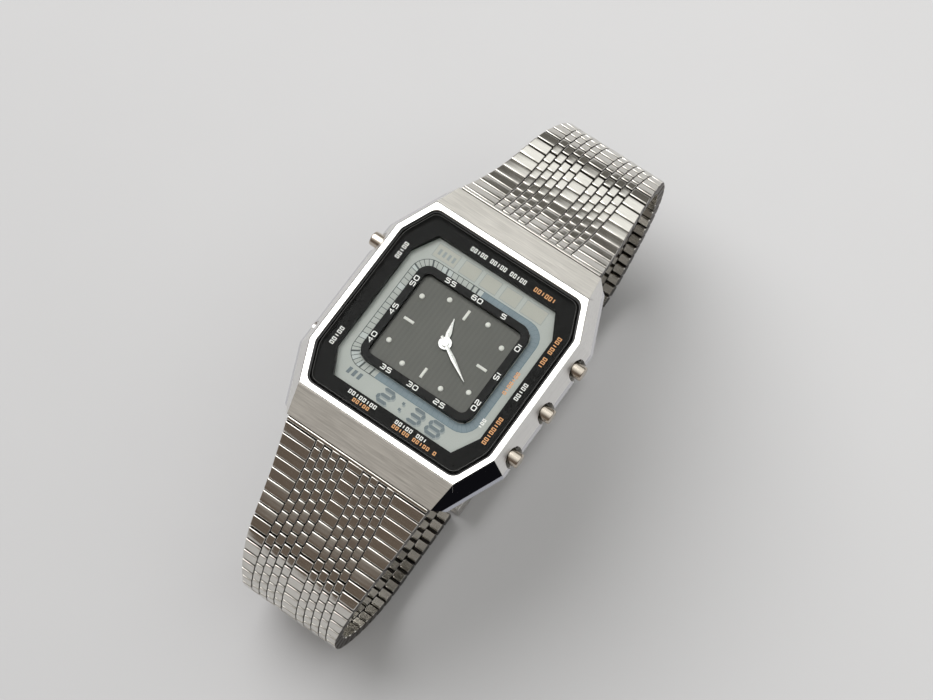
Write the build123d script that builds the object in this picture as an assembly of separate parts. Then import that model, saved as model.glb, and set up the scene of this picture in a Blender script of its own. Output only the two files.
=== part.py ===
from build123d import *
import math
import os

# A hooded digital and analogue wrist watch on a steel bracelet, in millimetres.
# X points to 3 o'clock, Y to 12 o'clock, Z up out of the dial. The watch lies on its
# clasp: the origin is on the clasp's outer face, straight below the dial's centre.
# Depths in the head are measured down from the bezel's top face.

# Head outline at the bezel's top face: an octagon with long corner cuts
HEAD_HALF_X = 17.0
HEAD_HALF_Y = 17.82
HEAD_EDGE_X = 14.12
HEAD_EDGE_Y = 11.23

# Bezel
BEZEL_HEIGHT = 1.3
BEZEL_RING = 1.0
BEZEL_EDGE = 0.1
BEZEL_CORNER = 1.7
SEAM = 0.04

# Middle case: flank slope, shallow rim, upright band and the taper to the back
FLANK_FLARE = 1.63
GIRDLE_DEPTH = 3.6
RIM_FLARE = 0.35
RIM_DROP = 0.45
GIRDLE_BAND = 0.2
CASE_DEPTH = 8.0
CASE_FOOT_INSET = 0.5
CASE_WALL = 2.85

# Hoods at 12 and 6, with the lugs under them
HOOD_REACH = 22.4
HOOD_DROP = 2.25
LUG_DEPTH = 5.2
LUG_FOOT_REACH = 18.2
LUG_FOOT_DEPTH = 6.8
LUG_SLOT_HALF = 6.2
LUG_SLOT_REACH = 18.7
LUG_SLOT_DEPTH = 2.7
FIT_SIDE = 0.2
HOOD_GAP = 0.08

# Spring bars between the lugs
BAR_RADIUS = 0.75
BAR_TIP_RADIUS = 0.4
BAR_TIP_LENGTH = 1.3
BAR_REACH = 19.85
BAR_DEPTH = 3.9
RUNNING_FIT = 0.05

# Crystal, its seal and the black frame under it
CRYSTAL_TOP = 0.05
CRYSTAL_THICKNESS = 0.8
CRYSTAL_INSET = 1.25
CRYSTAL_BEVEL = 0.35
CRYSTAL_CORNER = 1.5
SEAL_TOP = 0.3
SEAL_FIT = 0.02
WINDOW_HALF_X = 13.13
WINDOW_HALF_Y = 13.68
WINDOW_EDGE_X = 10.8
WINDOW_EDGE_Y = 9.4
FRAME_SKIRT_DEPTH = 1.95

# Liquid crystal cell
LCD_TOP = 2.0
LCD_THICKNESS = 1.4
LCD_HOLE_HALF_X = 9.8
LCD_HOLE_HALF_Y = 8.6
MODULE_INSET = 2.95

# Minute ring round the dial
RING_TOP = 0.95
RING_HALF_X = 10.2
RING_HALF_Y = 9.04
RING_CORNER = 2.1
RING_WIDTH = 1.25
RING_INNER_CORNER = 1.0
RING_SKIRT_WALL = 0.4
RING_SKIRT_FIT = 0.15

# Dial and hands
DIAL_TOP = 1.75
DIAL_THICKNESS = 0.4
DIAL_FIT = 0.05
DIAL_HOLE_RADIUS = 0.95
HOUR_HAND_TOP = 1.35
MINUTE_HAND_TOP = 1.0
HAND_THICKNESS = 0.12
HOUR_HAND_LENGTH = 4.15
HOUR_HAND_HALF_WIDTH = 0.42
HOUR_HUB_RADIUS = 1.1
MINUTE_HAND_LENGTH = 6.9
MINUTE_HAND_HALF_WIDTH = 0.37
MINUTE_HUB_RADIUS = 0.62
HAND_TAIL = 1.3
HAND_POINT_SHARE = 0.75
HOUR_ANGLE = 344.3
MINUTE_ANGLE = 120.4

# Movement: plates and the bores in them
MAIN_PLATE_TOP = 2.95
MAIN_PLATE_THICKNESS = 0.8
MAIN_PLATE_RIM = 0.5
BRIDGE_TOP = 5.6
BRIDGE_THICKNESS = 0.5
BRIDGE_MARGIN = 1.6
BRIDGE_RIGHT = 3.6
BRIDGE_LOW = -1.2
BRIDGE_POST_RADIUS = 0.5
PIVOT_RADIUS = 0.18
PIVOT_FIT = 0.03
ARBOR_RADIUS = 0.4
HOUR_PIPE_RADIUS = 0.8
CANNON_RADIUS = 0.5

# Gear train: rotor 8 to 48, 8 to 40; motion work 10 to 30, 8 to 32
TRAIN_MODULE = 0.1
CENTRE_MODULE = 0.12
MOTION_MODULE = 0.14
ADDENDUM_SHARE = 0.9
DEDENDUM_SHARE = 1.15
ROOT_HALF_SHARE = 0.3
TIP_HALF_SHARE = 0.12
ROTOR_TEETH = 8
INTERMEDIATE_TEETH = 48
INTERMEDIATE_PINION_TEETH = 8
CENTRE_TEETH = 40
CANNON_TEETH = 10
MINUTE_TEETH = 30
MINUTE_PINION_TEETH = 8
HOUR_TEETH = 32
WHEEL_THICKNESS = 0.22
PINION_THICKNESS = 0.4
INTERMEDIATE_ANGLE = 120
ROTOR_ANGLE = 160
MINUTE_WHEEL_ANGLE = 215
HOUR_WHEEL_DEPTH = 2.28
MINUTE_WHEEL_DEPTH = 2.62
CENTRE_WHEEL_DEPTH = 3.95
INTERMEDIATE_WHEEL_DEPTH = 4.45
MAGNET_DEPTH = 4.9
MAGNET_RADIUS = 0.85
MAGNET_HEIGHT = 0.5

# Stepping motor
STATOR_HOLE_RADIUS = 1.1
STATOR_WIDTH = 3.6
STATOR_THICKNESS = 0.3
COIL_RADIUS = 0.95
COIL_LENGTH = 7.6
COIL_CORE_RADIUS = 0.25
COIL_CORE_LENGTH = 10.4
COIL_Y = 7.6

# Circuit board, battery and quartz
BOARD_TOP = 6.3
BOARD_THICKNESS = 0.45
BOARD_FIT = 0.1
CHIP_SIDE = 3.6
CHIP_HEIGHT = 0.8
CHIP_X = -7.0
CHIP_Y = -6.5
BATTERY_RADIUS = 4.75
BATTERY_TOP = 4.45
BATTERY_HEIGHT = 2.7
BATTERY_X = 5.6
BATTERY_Y = -6.6
BATTERY_STEP = 0.35
CLAMP_THICKNESS = 0.18
CLAMP_HALF_WIDTH = 1.3
CLAMP_REACH = 5.9
QUARTZ_RADIUS = 0.95
QUARTZ_LENGTH = 6.0
QUARTZ_X = -10.2
QUARTZ_Y = 2.0
CONNECTOR_LENGTH = 19.0
CONNECTOR_WIDTH = 1.1
CONNECTOR_Y = 12.4

# Module frame
MODULE_WALL = 1.1
MODULE_FOOT = 7.5

# Case back, its seal and screws
BACK_PLATE = 0.9
BACK_INSET = 1.0
BACK_PLUG = 0.4
BACK_EDGE = 0.25
BACK_SEAL_WIDTH = 0.7
BACK_SEAL_HEIGHT = 0.35
SCREW_X = 9.4
SCREW_Y = 15.75
SCREW_RADIUS = 0.6
SCREW_HEAD_RADIUS = 0.95
SCREW_HEAD_HEIGHT = 0.45
SCREW_LENGTH = 2.6
SCREW_SLOT_WIDTH = 0.3
SCREW_SLOT_DEPTH = 0.2

# Push buttons: caps, flanges, stems, bushes and springs, all along X
PUSHER_DEPTH = 3.3
PUSHER_UPPER_Y = 8.3
PUSHER_MIDDLE_Y = 0.0
PUSHER_LOWER_Y = -8.4
PUSHER_TIP_X = 19.75
PUSHER_CAP_RADIUS = 1.2
PUSHER_CAP_EDGE = 0.2
PUSHER_STEM_RADIUS = 0.6
PUSHER_FLANGE_RADIUS = 1.4
PUSHER_FLANGE = 0.35
BUSH_FACE_X = 17.7
BUSH_LENGTH = 1.0
BUSH_WALL = 0.45
SPRING_SEAT_X = 15.0
SPRING_WIRE_RADIUS = 0.09
SPRING_RADIUS = 1.0
SPRING_TURNS = 3
STEM_END_X = 14.75
RECESS_RADIUS = 1.8
RECESS_DEPTH = 0.5

# Hand-setting button, sunk in the flank
SET_FACE_X = 17.9
SET_RADIUS = 0.8
SET_HEAD = 1.9
SET_STEM_RADIUS = 0.45
SET_TRAVEL = 0.4

# Bracelet: half rows are numbered from the end link, and two of them are one pitch
ROW_PITCH = 2.06
BRACELET_THICKNESS = 2.4
LINK_GAP = 0.16
LINK_EDGE = 0.3
LINK_INNER_EDGE = 0.28
LINK_INNER_RISE = 0.75
LINK_FLOOR = 0.25
BAND_HALF = 0.42
COLUMN_GAP = 0.12
CENTRE_COLUMN_HALF = 1.35
SMALL_COLUMN = 1.45
SMALL_COLUMNS = 4
START_HALF_WIDTH = 12.88
CLASP_HALF_WIDTH = 9.0
TAPER_ROWS = 14.3
LINK_PIN_RADIUS = 0.22
LINK_PIN_FIT = 0.04
PIN_INSET = 0.35
END_PIVOT_REACH = 22.45
END_PIVOT_DEPTH = 3.5
END_LINK_TILT = 40
TONGUE_REACH = 18.9
TONGUE_DEPTH = 2.85
TONGUE_FOOT = 5.0

# Sections of the bracelet: eleven half rows each, six on each side
SECTION_HALF_ROWS = 11
SECTIONS = 6

# Direction of the bracelet's line below the horizontal, in degrees, at certain rows
UPPER_TURNS = ((0, 40), (3, 33), (6, 18), (8, 11), (10, 34), (12, 44))
UPPER_TURNS += ((16, 94), (20, 130), (25, 142), (29, 180))
LOWER_TURNS = ((0, 45), (3, 43), (6, 31), (8, 32), (10, 52), (12, 62))
LOWER_TURNS += ((15, 81), (18, 123.811), (22, 146), (26, 180))

# Clasp: a folding one, with levels measured up from the cover's outer face
CLASP_LIFT = 0.05
COVER_GAP_12 = 1.15
COVER_GAP_6 = 0.7
COVER_PLATE = 0.5
COVER_WALL = 0.6
COVER_HEIGHT = 3.2
COVER_HALF_WIDTH = 9.9
COVER_NOTCH = 2.6
COVER_EDGE = 0.15
BLADE_HALF_WIDTH = 4.0
BLADE_THICKNESS = 0.5
MIDDLE_BLADE_LEVEL = 0.85
INNER_BLADE_LEVEL = 2.3
KNUCKLE_RADIUS = 0.6
KNUCKLE_HALF_WIDTH = 1.5
KNUCKLE_GAP = 0.12
CLASP_PIN_RADIUS = 0.3
COVER_PIN_INSET = 0.7
COVER_PIN_LEVEL = 1.5
BLADE_PIN_INSET = 3.0
BLADE_PIN_LEVEL = 1.8
END_BARREL_RADIUS = 0.7
END_PIN_INSET = 1.05
END_NOTCH = 2.6
CLASP_BAR_RADIUS = 0.6
CLASP_BAR_INSET = 1.3
CLASP_BAR_LEVEL = 1.7
PIN_END_INSET = 0.15

HALF_PITCH = ROW_PITCH / 2
OVERRUN = 1.0


def octagon(half_x, half_y, edge_x, edge_y, depth):
    # A face with four straight sides and four cut corners, at a depth in the head
    corners = [(edge_x, half_y), (half_x, edge_y), (half_x, -edge_y), (edge_x, -half_y)]
    corners += [(-x, -y) for x, y in corners]
    return make_face(Polyline([(x, y, -depth) for x, y in corners], close=True))


def head_outline(inset, depth, longer=0):
    # The head's octagon moved in by a distance all round, or out if it is negative;
    # a longer one has its slanted sides run on past the bezel's corners
    cut_x = HEAD_HALF_X - HEAD_EDGE_X
    cut_y = HEAD_HALF_Y - HEAD_EDGE_Y
    slant = math.hypot(cut_x, cut_y)
    normal_x = cut_y / slant
    normal_y = cut_x / slant
    reach = normal_x * HEAD_HALF_X + normal_y * HEAD_EDGE_Y - inset
    half_x = HEAD_HALF_X - inset
    half_y = HEAD_HALF_Y - inset + longer
    edge_x = (reach - normal_y * half_y) / normal_x
    edge_y = (reach - normal_x * half_x) / normal_y
    return octagon(half_x, half_y, edge_x, edge_y, depth)


def slab(face, thickness):
    # A flat piece that goes down from its face
    return extrude(face, amount=thickness, dir=(0, 0, -1))


def rounded(solid, radius):
    return fillet(solid.edges().filter_by(Axis.Z), radius)


def rectangle(half_x, half_y, corner, top, thickness):
    body = Pos(0, 0, -top - thickness / 2) * Box(2 * half_x, 2 * half_y, thickness)
    return rounded(body, corner)


def disc(radius, top, thickness, x=0, y=0):
    return Pos(x, y, -top - thickness / 2) * Cylinder(radius, thickness)


def rod(radius, x0, x1, y, z):
    # A round bar along X
    return Pos((x0 + x1) / 2, y, z) * Rot(0, 90, 0) * Cylinder(radius, abs(x1 - x0))


def side_profile(points, half_width):
    # A shape drawn in the YZ plane and drawn out along X, evenly to both sides
    face = make_face(Polyline([(0, y, z) for y, z in points], close=True))
    return extrude(face, amount=half_width, dir=(1, 0, 0), both=True)


def polar(radius, degrees):
    turn = math.radians(degrees)
    return radius * math.cos(turn), radius * math.sin(turn)


# Places that follow from the sizes above
FLARE_AT_BEZEL = FLANK_FLARE * BEZEL_HEIGHT / GIRDLE_DEPTH
PUSHER_PLACES = {
    "2h": (1, PUSHER_UPPER_Y),
    "3h": (1, PUSHER_MIDDLE_Y),
    "4h": (1, PUSHER_LOWER_Y),
    "10h": (-1, PUSHER_UPPER_Y),
}
CRYSTAL_BACK = CRYSTAL_TOP + CRYSTAL_THICKNESS
LCD_BACK = LCD_TOP + LCD_THICKNESS
CENTRE_DISTANCE = CENTRE_MODULE * (CENTRE_TEETH + INTERMEDIATE_PINION_TEETH) / 2
ROTOR_DISTANCE = TRAIN_MODULE * (INTERMEDIATE_TEETH + ROTOR_TEETH) / 2
MOTION_DISTANCE = MOTION_MODULE * (CANNON_TEETH + MINUTE_TEETH) / 2
INTERMEDIATE_X, INTERMEDIATE_Y = polar(CENTRE_DISTANCE, INTERMEDIATE_ANGLE)
ROTOR_STEP_X, ROTOR_STEP_Y = polar(ROTOR_DISTANCE, ROTOR_ANGLE)
ROTOR_X = INTERMEDIATE_X + ROTOR_STEP_X
ROTOR_Y = INTERMEDIATE_Y + ROTOR_STEP_Y
MINUTE_WHEEL_X, MINUTE_WHEEL_Y = polar(MOTION_DISTANCE, MINUTE_WHEEL_ANGLE)


def side_view():
    # The head from its side: flat top, sloping hoods, leaning end faces, lugs and foot
    lean = math.radians(END_LINK_TILT)
    undercut = (LUG_DEPTH - HOOD_DROP) * math.tan(lean)
    points = [(HEAD_HALF_Y, 0), (HOOD_REACH, -HOOD_DROP), (HOOD_REACH - undercut, -LUG_DEPTH)]
    points += [(LUG_FOOT_REACH, -LUG_FOOT_DEPTH), (HEAD_HALF_Y - CASE_FOOT_INSET, -CASE_DEPTH)]
    points += [(-y, z) for y, z in reversed(points)]
    return side_profile(points, HEAD_HALF_X + FLANK_FLARE + RIM_FLARE + OVERRUN)


def head_flanks():
    # Sloping flanks, the rim, the band and the taper, all long enough for the hoods
    longer = HOOD_REACH - HEAD_HALF_Y + OVERRUN
    rim = GIRDLE_DEPTH + RIM_DROP
    widest = FLANK_FLARE + RIM_FLARE
    top = head_outline(0, 0, longer)
    flank_foot = head_outline(-FLANK_FLARE, GIRDLE_DEPTH, longer)
    band_top = head_outline(-widest, rim, longer)
    band_foot = head_outline(-widest, rim + GIRDLE_BAND, longer)
    body = loft([top, flank_foot], ruled=True) + loft([flank_foot, band_top], ruled=True)
    body += slab(band_top, GIRDLE_BAND)
    return body + loft([band_foot, head_outline(CASE_FOOT_INSET, CASE_DEPTH, longer)], ruled=True)


def bezel_blank(margin):
    top = head_outline(-margin, 0)
    foot = head_outline(-FLARE_AT_BEZEL - margin, BEZEL_HEIGHT)
    return loft([top, foot], ruled=True)


def pusher_cuts(side, y):
    z = -PUSHER_DEPTH
    outside = side * (PUSHER_TIP_X + OVERRUN)
    recess = side * (HEAD_HALF_X + FLANK_FLARE * PUSHER_DEPTH / GIRDLE_DEPTH - RECESS_DEPTH)
    bush = PUSHER_CAP_RADIUS + RUNNING_FIT + BUSH_WALL
    cuts = rod(RECESS_RADIUS, recess, outside, y, z)
    cuts += rod(bush, side * SPRING_SEAT_X, outside, y, z)
    cuts += rod(PUSHER_STEM_RADIUS + RUNNING_FIT, 0, side * SPRING_SEAT_X, y, z)
    return cuts


def set_button_cuts():
    z = -PUSHER_DEPTH
    head = SET_FACE_X - SET_HEAD - SET_TRAVEL - FIT_SIDE
    cuts = rod(SET_RADIUS + RUNNING_FIT, -head, -PUSHER_TIP_X, PUSHER_LOWER_Y, z)
    cuts += rod(SET_STEM_RADIUS + RUNNING_FIT, 0, -head, PUSHER_LOWER_Y, z)
    return cuts


def case_body():
    body = head_flanks() & side_view()
    body -= bezel_blank(SEAM)
    body -= slab(head_outline(CASE_WALL, 0), CASE_DEPTH)
    slot_length = HOOD_REACH - LUG_SLOT_REACH + OVERRUN
    slot_height = CASE_DEPTH - LUG_SLOT_DEPTH
    slot = Box(2 * LUG_SLOT_HALF, slot_length, slot_height)
    tip_reach = LUG_SLOT_HALF + BAR_TIP_LENGTH
    tip_hole = rod(BAR_TIP_RADIUS + RUNNING_FIT, -tip_reach, tip_reach, 0, 0)
    for side in (1, -1):
        body -= Pos(0, side * (LUG_SLOT_REACH + slot_length / 2), -LUG_SLOT_DEPTH - slot_height / 2) * slot
        body -= Pos(0, side * BAR_REACH, -BAR_DEPTH) * tip_hole
        for x in (SCREW_X, -SCREW_X):
            body -= disc(SCREW_RADIUS, CASE_DEPTH - SCREW_LENGTH, SCREW_LENGTH, x, side * SCREW_Y)
    for side, y in PUSHER_PLACES.values():
        body -= pusher_cuts(side, y)
    body -= set_button_cuts()
    return body


def bezel():
    body = bezel_blank(0)
    opening = rounded(slab(head_outline(BEZEL_RING, 0), BEZEL_HEIGHT), BEZEL_CORNER)
    body -= opening
    top_edges = body.faces().sort_by(Axis.Z)[-1].edges()
    return chamfer(top_edges, BEZEL_EDGE)


def crystal():
    body = slab(head_outline(CRYSTAL_INSET, CRYSTAL_TOP), CRYSTAL_THICKNESS)
    body = rounded(body, CRYSTAL_CORNER)
    return chamfer(body.faces().sort_by(Axis.Z)[-1].edges(), CRYSTAL_BEVEL)


def crystal_gasket():
    height = CRYSTAL_BACK - SEAL_TOP
    outer = rounded(slab(head_outline(BEZEL_RING + SEAL_FIT, SEAL_TOP), height), BEZEL_CORNER)
    inner = rounded(slab(head_outline(CRYSTAL_INSET - SEAL_FIT, SEAL_TOP), height), CRYSTAL_CORNER)
    body = outer - inner
    ledge = CRYSTAL_TOP + CRYSTAL_BEVEL
    if ledge > SEAL_TOP:
        body -= slab(head_outline(0, SEAL_TOP), ledge - SEAL_TOP)
    return body


def display_frame():
    top = CRYSTAL_BACK + SEAL_FIT
    plate = rounded(slab(head_outline(BEZEL_RING + SEAL_FIT, top), BEZEL_HEIGHT - top), BEZEL_CORNER)
    skirt = slab(head_outline(MODULE_INSET, BEZEL_HEIGHT), FRAME_SKIRT_DEPTH - BEZEL_HEIGHT)
    window = octagon(WINDOW_HALF_X, WINDOW_HALF_Y, WINDOW_EDGE_X, WINDOW_EDGE_Y, 0)
    return plate + skirt - slab(window, LCD_TOP)


def lcd_panel():
    body = slab(head_outline(MODULE_INSET, LCD_TOP), LCD_THICKNESS)
    hole = Box(2 * LCD_HOLE_HALF_X, 2 * LCD_HOLE_HALF_Y, LCD_THICKNESS)
    hole = Pos(0, 0, -LCD_TOP - LCD_THICKNESS / 2) * hole
    return body - hole


def ring_inner_half():
    return RING_HALF_X - RING_WIDTH, RING_HALF_Y - RING_WIDTH


def minute_ring():
    inner_x, inner_y = ring_inner_half()
    flange = rectangle(RING_HALF_X, RING_HALF_Y, RING_CORNER, RING_TOP, LCD_TOP - RING_TOP)
    skirt_x = LCD_HOLE_HALF_X - RING_SKIRT_FIT
    skirt_y = LCD_HOLE_HALF_Y - RING_SKIRT_FIT
    skirt = rectangle(skirt_x, skirt_y, RING_INNER_CORNER, LCD_TOP, LCD_THICKNESS)
    pocket_x = skirt_x - RING_SKIRT_WALL
    pocket_y = skirt_y - RING_SKIRT_WALL
    pocket = rectangle(pocket_x, pocket_y, RING_INNER_CORNER, DIAL_TOP, LCD_BACK - DIAL_TOP)
    opening = rectangle(inner_x, inner_y, RING_INNER_CORNER, RING_TOP, DIAL_TOP - RING_TOP)
    return flange + skirt - pocket - opening


def dial_half():
    inset = RING_SKIRT_FIT + RING_SKIRT_WALL + DIAL_FIT
    return LCD_HOLE_HALF_X - inset, LCD_HOLE_HALF_Y - inset


def dial():
    half_x, half_y = dial_half()
    body = rectangle(half_x, half_y, RING_INNER_CORNER, DIAL_TOP, DIAL_THICKNESS)
    return body - disc(DIAL_HOLE_RADIUS, DIAL_TOP, DIAL_THICKNESS)


def hand(length, half_width, hub_radius, bore_radius, top, angle):
    # A lance: widest a little out from its hub, with a short tail behind it
    shoulder = length - (length - hub_radius) * HAND_POINT_SHARE
    points = [(0, length), (half_width, shoulder), (half_width / 2, 0), (half_width / 2, -HAND_TAIL)]
    points += [(-x, y) for x, y in reversed(points[1:])]
    blade = slab(make_face(Polyline([(x, y, -top) for x, y in points], close=True)), HAND_THICKNESS)
    body = blade + disc(hub_radius, top, HAND_THICKNESS) - disc(bore_radius, top, HAND_THICKNESS)
    return Rot(0, 0, -angle) * body


def hour_hand():
    half_width = HOUR_HAND_HALF_WIDTH
    return hand(HOUR_HAND_LENGTH, half_width, HOUR_HUB_RADIUS, HOUR_PIPE_RADIUS, HOUR_HAND_TOP, HOUR_ANGLE)


def minute_hand():
    half_width = MINUTE_HAND_HALF_WIDTH
    return hand(MINUTE_HAND_LENGTH, half_width, MINUTE_HUB_RADIUS, CANNON_RADIUS, MINUTE_HAND_TOP, MINUTE_ANGLE)


def wheel(teeth, module, top, thickness):
    # Straight-sided teeth between the root and the tip circles
    tip = module * (teeth / 2 + ADDENDUM_SHARE)
    root = module * (teeth / 2 - DEDENDUM_SHARE)
    pitch = 360 / teeth
    root_step = ROOT_HALF_SHARE * pitch
    tip_step = TIP_HALF_SHARE * pitch
    points = []
    for tooth in range(teeth):
        centre = tooth * pitch
        points.append(polar(root, centre - root_step))
        points.append(polar(tip, centre - tip_step))
        points.append(polar(tip, centre + tip_step))
        points.append(polar(root, centre + root_step))
    return slab(make_face(Polyline([(x, y, -top) for x, y in points], close=True)), thickness)


def half_tooth(teeth):
    return 180 / teeth


def centre_wheel():
    # Arbor with the big wheel below the main plate and the cannon pinion above it
    bottom = BRIDGE_TOP
    arbor = disc(CANNON_RADIUS, MINUTE_HAND_TOP, MAIN_PLATE_TOP - MINUTE_HAND_TOP)
    arbor += disc(ARBOR_RADIUS, MAIN_PLATE_TOP, bottom - MAIN_PLATE_TOP)
    arbor += disc(PIVOT_RADIUS, bottom, BRIDGE_THICKNESS)
    cannon = wheel(CANNON_TEETH, MOTION_MODULE, MINUTE_WHEEL_DEPTH, WHEEL_THICKNESS)
    big = wheel(CENTRE_TEETH, CENTRE_MODULE, CENTRE_WHEEL_DEPTH, WHEEL_THICKNESS)
    return arbor + cannon + big


def hour_wheel():
    pipe_top = HOUR_HAND_TOP
    body = disc(HOUR_PIPE_RADIUS, pipe_top, HOUR_WHEEL_DEPTH - pipe_top)
    toothed = wheel(HOUR_TEETH, MOTION_MODULE, HOUR_WHEEL_DEPTH, WHEEL_THICKNESS)
    body += Rot(0, 0, MINUTE_WHEEL_ANGLE + half_tooth(HOUR_TEETH)) * toothed
    bore_length = HOUR_WHEEL_DEPTH + WHEEL_THICKNESS - pipe_top
    return body - disc(CANNON_RADIUS + RUNNING_FIT, pipe_top, bore_length)


def minute_wheel():
    # Wheel and pinion of the motion work, on a stud of the main plate
    turn = Rot(0, 0, MINUTE_WHEEL_ANGLE + 180)
    pinion_length = MINUTE_WHEEL_DEPTH - HOUR_WHEEL_DEPTH
    body = turn * wheel(MINUTE_PINION_TEETH, MOTION_MODULE, HOUR_WHEEL_DEPTH, pinion_length)
    toothed = wheel(MINUTE_TEETH, MOTION_MODULE, MINUTE_WHEEL_DEPTH, WHEEL_THICKNESS)
    body += turn * Rot(0, 0, half_tooth(MINUTE_TEETH)) * toothed
    bore = disc(PIVOT_RADIUS + PIVOT_FIT, HOUR_WHEEL_DEPTH, pinion_length + WHEEL_THICKNESS)
    return Pos(MINUTE_WHEEL_X, MINUTE_WHEEL_Y, 0) * (body - bore)


def train_arbor(top, bottom):
    body = disc(ARBOR_RADIUS / 2 + PIVOT_RADIUS / 2, top, bottom - top)
    body += disc(PIVOT_RADIUS, top - MAIN_PLATE_THICKNESS / 2, MAIN_PLATE_THICKNESS / 2)
    return body + disc(PIVOT_RADIUS, bottom, BRIDGE_THICKNESS)


def plate_foot():
    return MAIN_PLATE_TOP + MAIN_PLATE_THICKNESS


def intermediate_wheel():
    body = train_arbor(plate_foot(), BRIDGE_TOP)
    turn = Rot(0, 0, INTERMEDIATE_ANGLE + 180 + half_tooth(INTERMEDIATE_PINION_TEETH))
    pinion_top = CENTRE_WHEEL_DEPTH - (PINION_THICKNESS - WHEEL_THICKNESS) / 2
    pinion_length = INTERMEDIATE_WHEEL_DEPTH - pinion_top
    body += turn * wheel(INTERMEDIATE_PINION_TEETH, CENTRE_MODULE, pinion_top, pinion_length)
    toothed = wheel(INTERMEDIATE_TEETH, TRAIN_MODULE, INTERMEDIATE_WHEEL_DEPTH, WHEEL_THICKNESS)
    body += Rot(0, 0, ROTOR_ANGLE) * toothed
    return Pos(INTERMEDIATE_X, INTERMEDIATE_Y, 0) * body


def rotor():
    body = train_arbor(plate_foot(), BRIDGE_TOP)
    pinion_top = INTERMEDIATE_WHEEL_DEPTH - (PINION_THICKNESS - WHEEL_THICKNESS) / 2
    turn = Rot(0, 0, ROTOR_ANGLE + 180 + half_tooth(ROTOR_TEETH))
    body += turn * wheel(ROTOR_TEETH, TRAIN_MODULE, pinion_top, MAGNET_DEPTH - pinion_top)
    body += disc(MAGNET_RADIUS, MAGNET_DEPTH, MAGNET_HEIGHT)
    return Pos(ROTOR_X, ROTOR_Y, 0) * body


def main_plate():
    half_x, half_y = dial_half()
    top = DIAL_TOP + DIAL_THICKNESS
    body = rectangle(half_x, half_y, RING_INNER_CORNER, top, plate_foot() - top)
    hollow_x = half_x - MAIN_PLATE_RIM
    hollow_y = half_y - MAIN_PLATE_RIM
    body -= rectangle(hollow_x, hollow_y, MAIN_PLATE_RIM, top, MAIN_PLATE_TOP - top)
    stud_length = MAIN_PLATE_TOP - HOUR_WHEEL_DEPTH
    body += disc(PIVOT_RADIUS, HOUR_WHEEL_DEPTH, stud_length, MINUTE_WHEEL_X, MINUTE_WHEEL_Y)
    body -= disc(ARBOR_RADIUS + PIVOT_FIT, MAIN_PLATE_TOP, MAIN_PLATE_THICKNESS)
    blind = MAIN_PLATE_THICKNESS / 2
    for x, y in ((INTERMEDIATE_X, INTERMEDIATE_Y), (ROTOR_X, ROTOR_Y)):
        body -= disc(PIVOT_RADIUS + PIVOT_FIT, plate_foot() - blind, blind, x, y)
    return body


def train_bridge():
    left = ROTOR_X - BRIDGE_MARGIN
    high = ROTOR_Y + BRIDGE_MARGIN
    plate = Box(BRIDGE_RIGHT - left, high - BRIDGE_LOW, BRIDGE_THICKNESS)
    level = -BRIDGE_TOP - BRIDGE_THICKNESS / 2
    body = Pos((BRIDGE_RIGHT + left) / 2, (high + BRIDGE_LOW) / 2, level) * plate
    posts = [(left + BRIDGE_POST_RADIUS, BRIDGE_LOW + BRIDGE_POST_RADIUS)]
    posts.append((BRIDGE_RIGHT - BRIDGE_POST_RADIUS, INTERMEDIATE_Y))
    for x, y in posts:
        body += disc(BRIDGE_POST_RADIUS, plate_foot(), BRIDGE_TOP - plate_foot(), x, y)
    for x, y in ((0, 0), (INTERMEDIATE_X, INTERMEDIATE_Y), (ROTOR_X, ROTOR_Y)):
        body -= disc(PIVOT_RADIUS + PIVOT_FIT, BRIDGE_TOP, BRIDGE_THICKNESS, x, y)
    return body


def stator():
    # A soft iron plate round the rotor's magnet, with its ends on the coil's core
    top = MAGNET_DEPTH + (MAGNET_HEIGHT - STATOR_THICKNESS) / 2
    half = COIL_CORE_LENGTH / 2
    arm = STATOR_WIDTH / 2
    foot = COIL_Y + COIL_CORE_RADIUS
    points = [(-half, foot), (-half, ROTOR_Y - arm), (ROTOR_X + arm, ROTOR_Y - arm)]
    waist = COIL_Y - COIL_RADIUS - arm
    points += [(ROTOR_X + arm, waist), (half, waist), (half, foot), (half - COIL_CORE_RADIUS * 2, foot)]
    inner = COIL_Y - COIL_RADIUS - FIT_SIDE
    points += [(half - COIL_CORE_RADIUS * 2, inner), (-half + COIL_CORE_RADIUS * 2, inner)]
    points += [(-half + COIL_CORE_RADIUS * 2, foot)]
    body = slab(make_face(Polyline([(x, y, -top) for x, y in points], close=True)), STATOR_THICKNESS)
    return body - disc(STATOR_HOLE_RADIUS, top, STATOR_THICKNESS, ROTOR_X, ROTOR_Y)


def coil():
    z = -MAGNET_DEPTH - MAGNET_HEIGHT / 2
    lift = COIL_CORE_RADIUS + STATOR_THICKNESS / 2
    winding = rod(COIL_RADIUS, -COIL_LENGTH / 2, COIL_LENGTH / 2, COIL_Y, z + lift)
    return winding + rod(COIL_CORE_RADIUS, -COIL_CORE_LENGTH / 2, COIL_CORE_LENGTH / 2, COIL_Y, z + lift)


def circuit_board():
    body = slab(head_outline(MODULE_INSET + MODULE_WALL + BOARD_FIT, BOARD_TOP), BOARD_THICKNESS)
    body -= disc(BATTERY_RADIUS + BOARD_FIT, BOARD_TOP, BOARD_THICKNESS, BATTERY_X, BATTERY_Y)
    return body + Pos(CHIP_X, CHIP_Y, -BOARD_TOP + CHIP_HEIGHT / 2) * Box(CHIP_SIDE, CHIP_SIDE, CHIP_HEIGHT)


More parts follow.
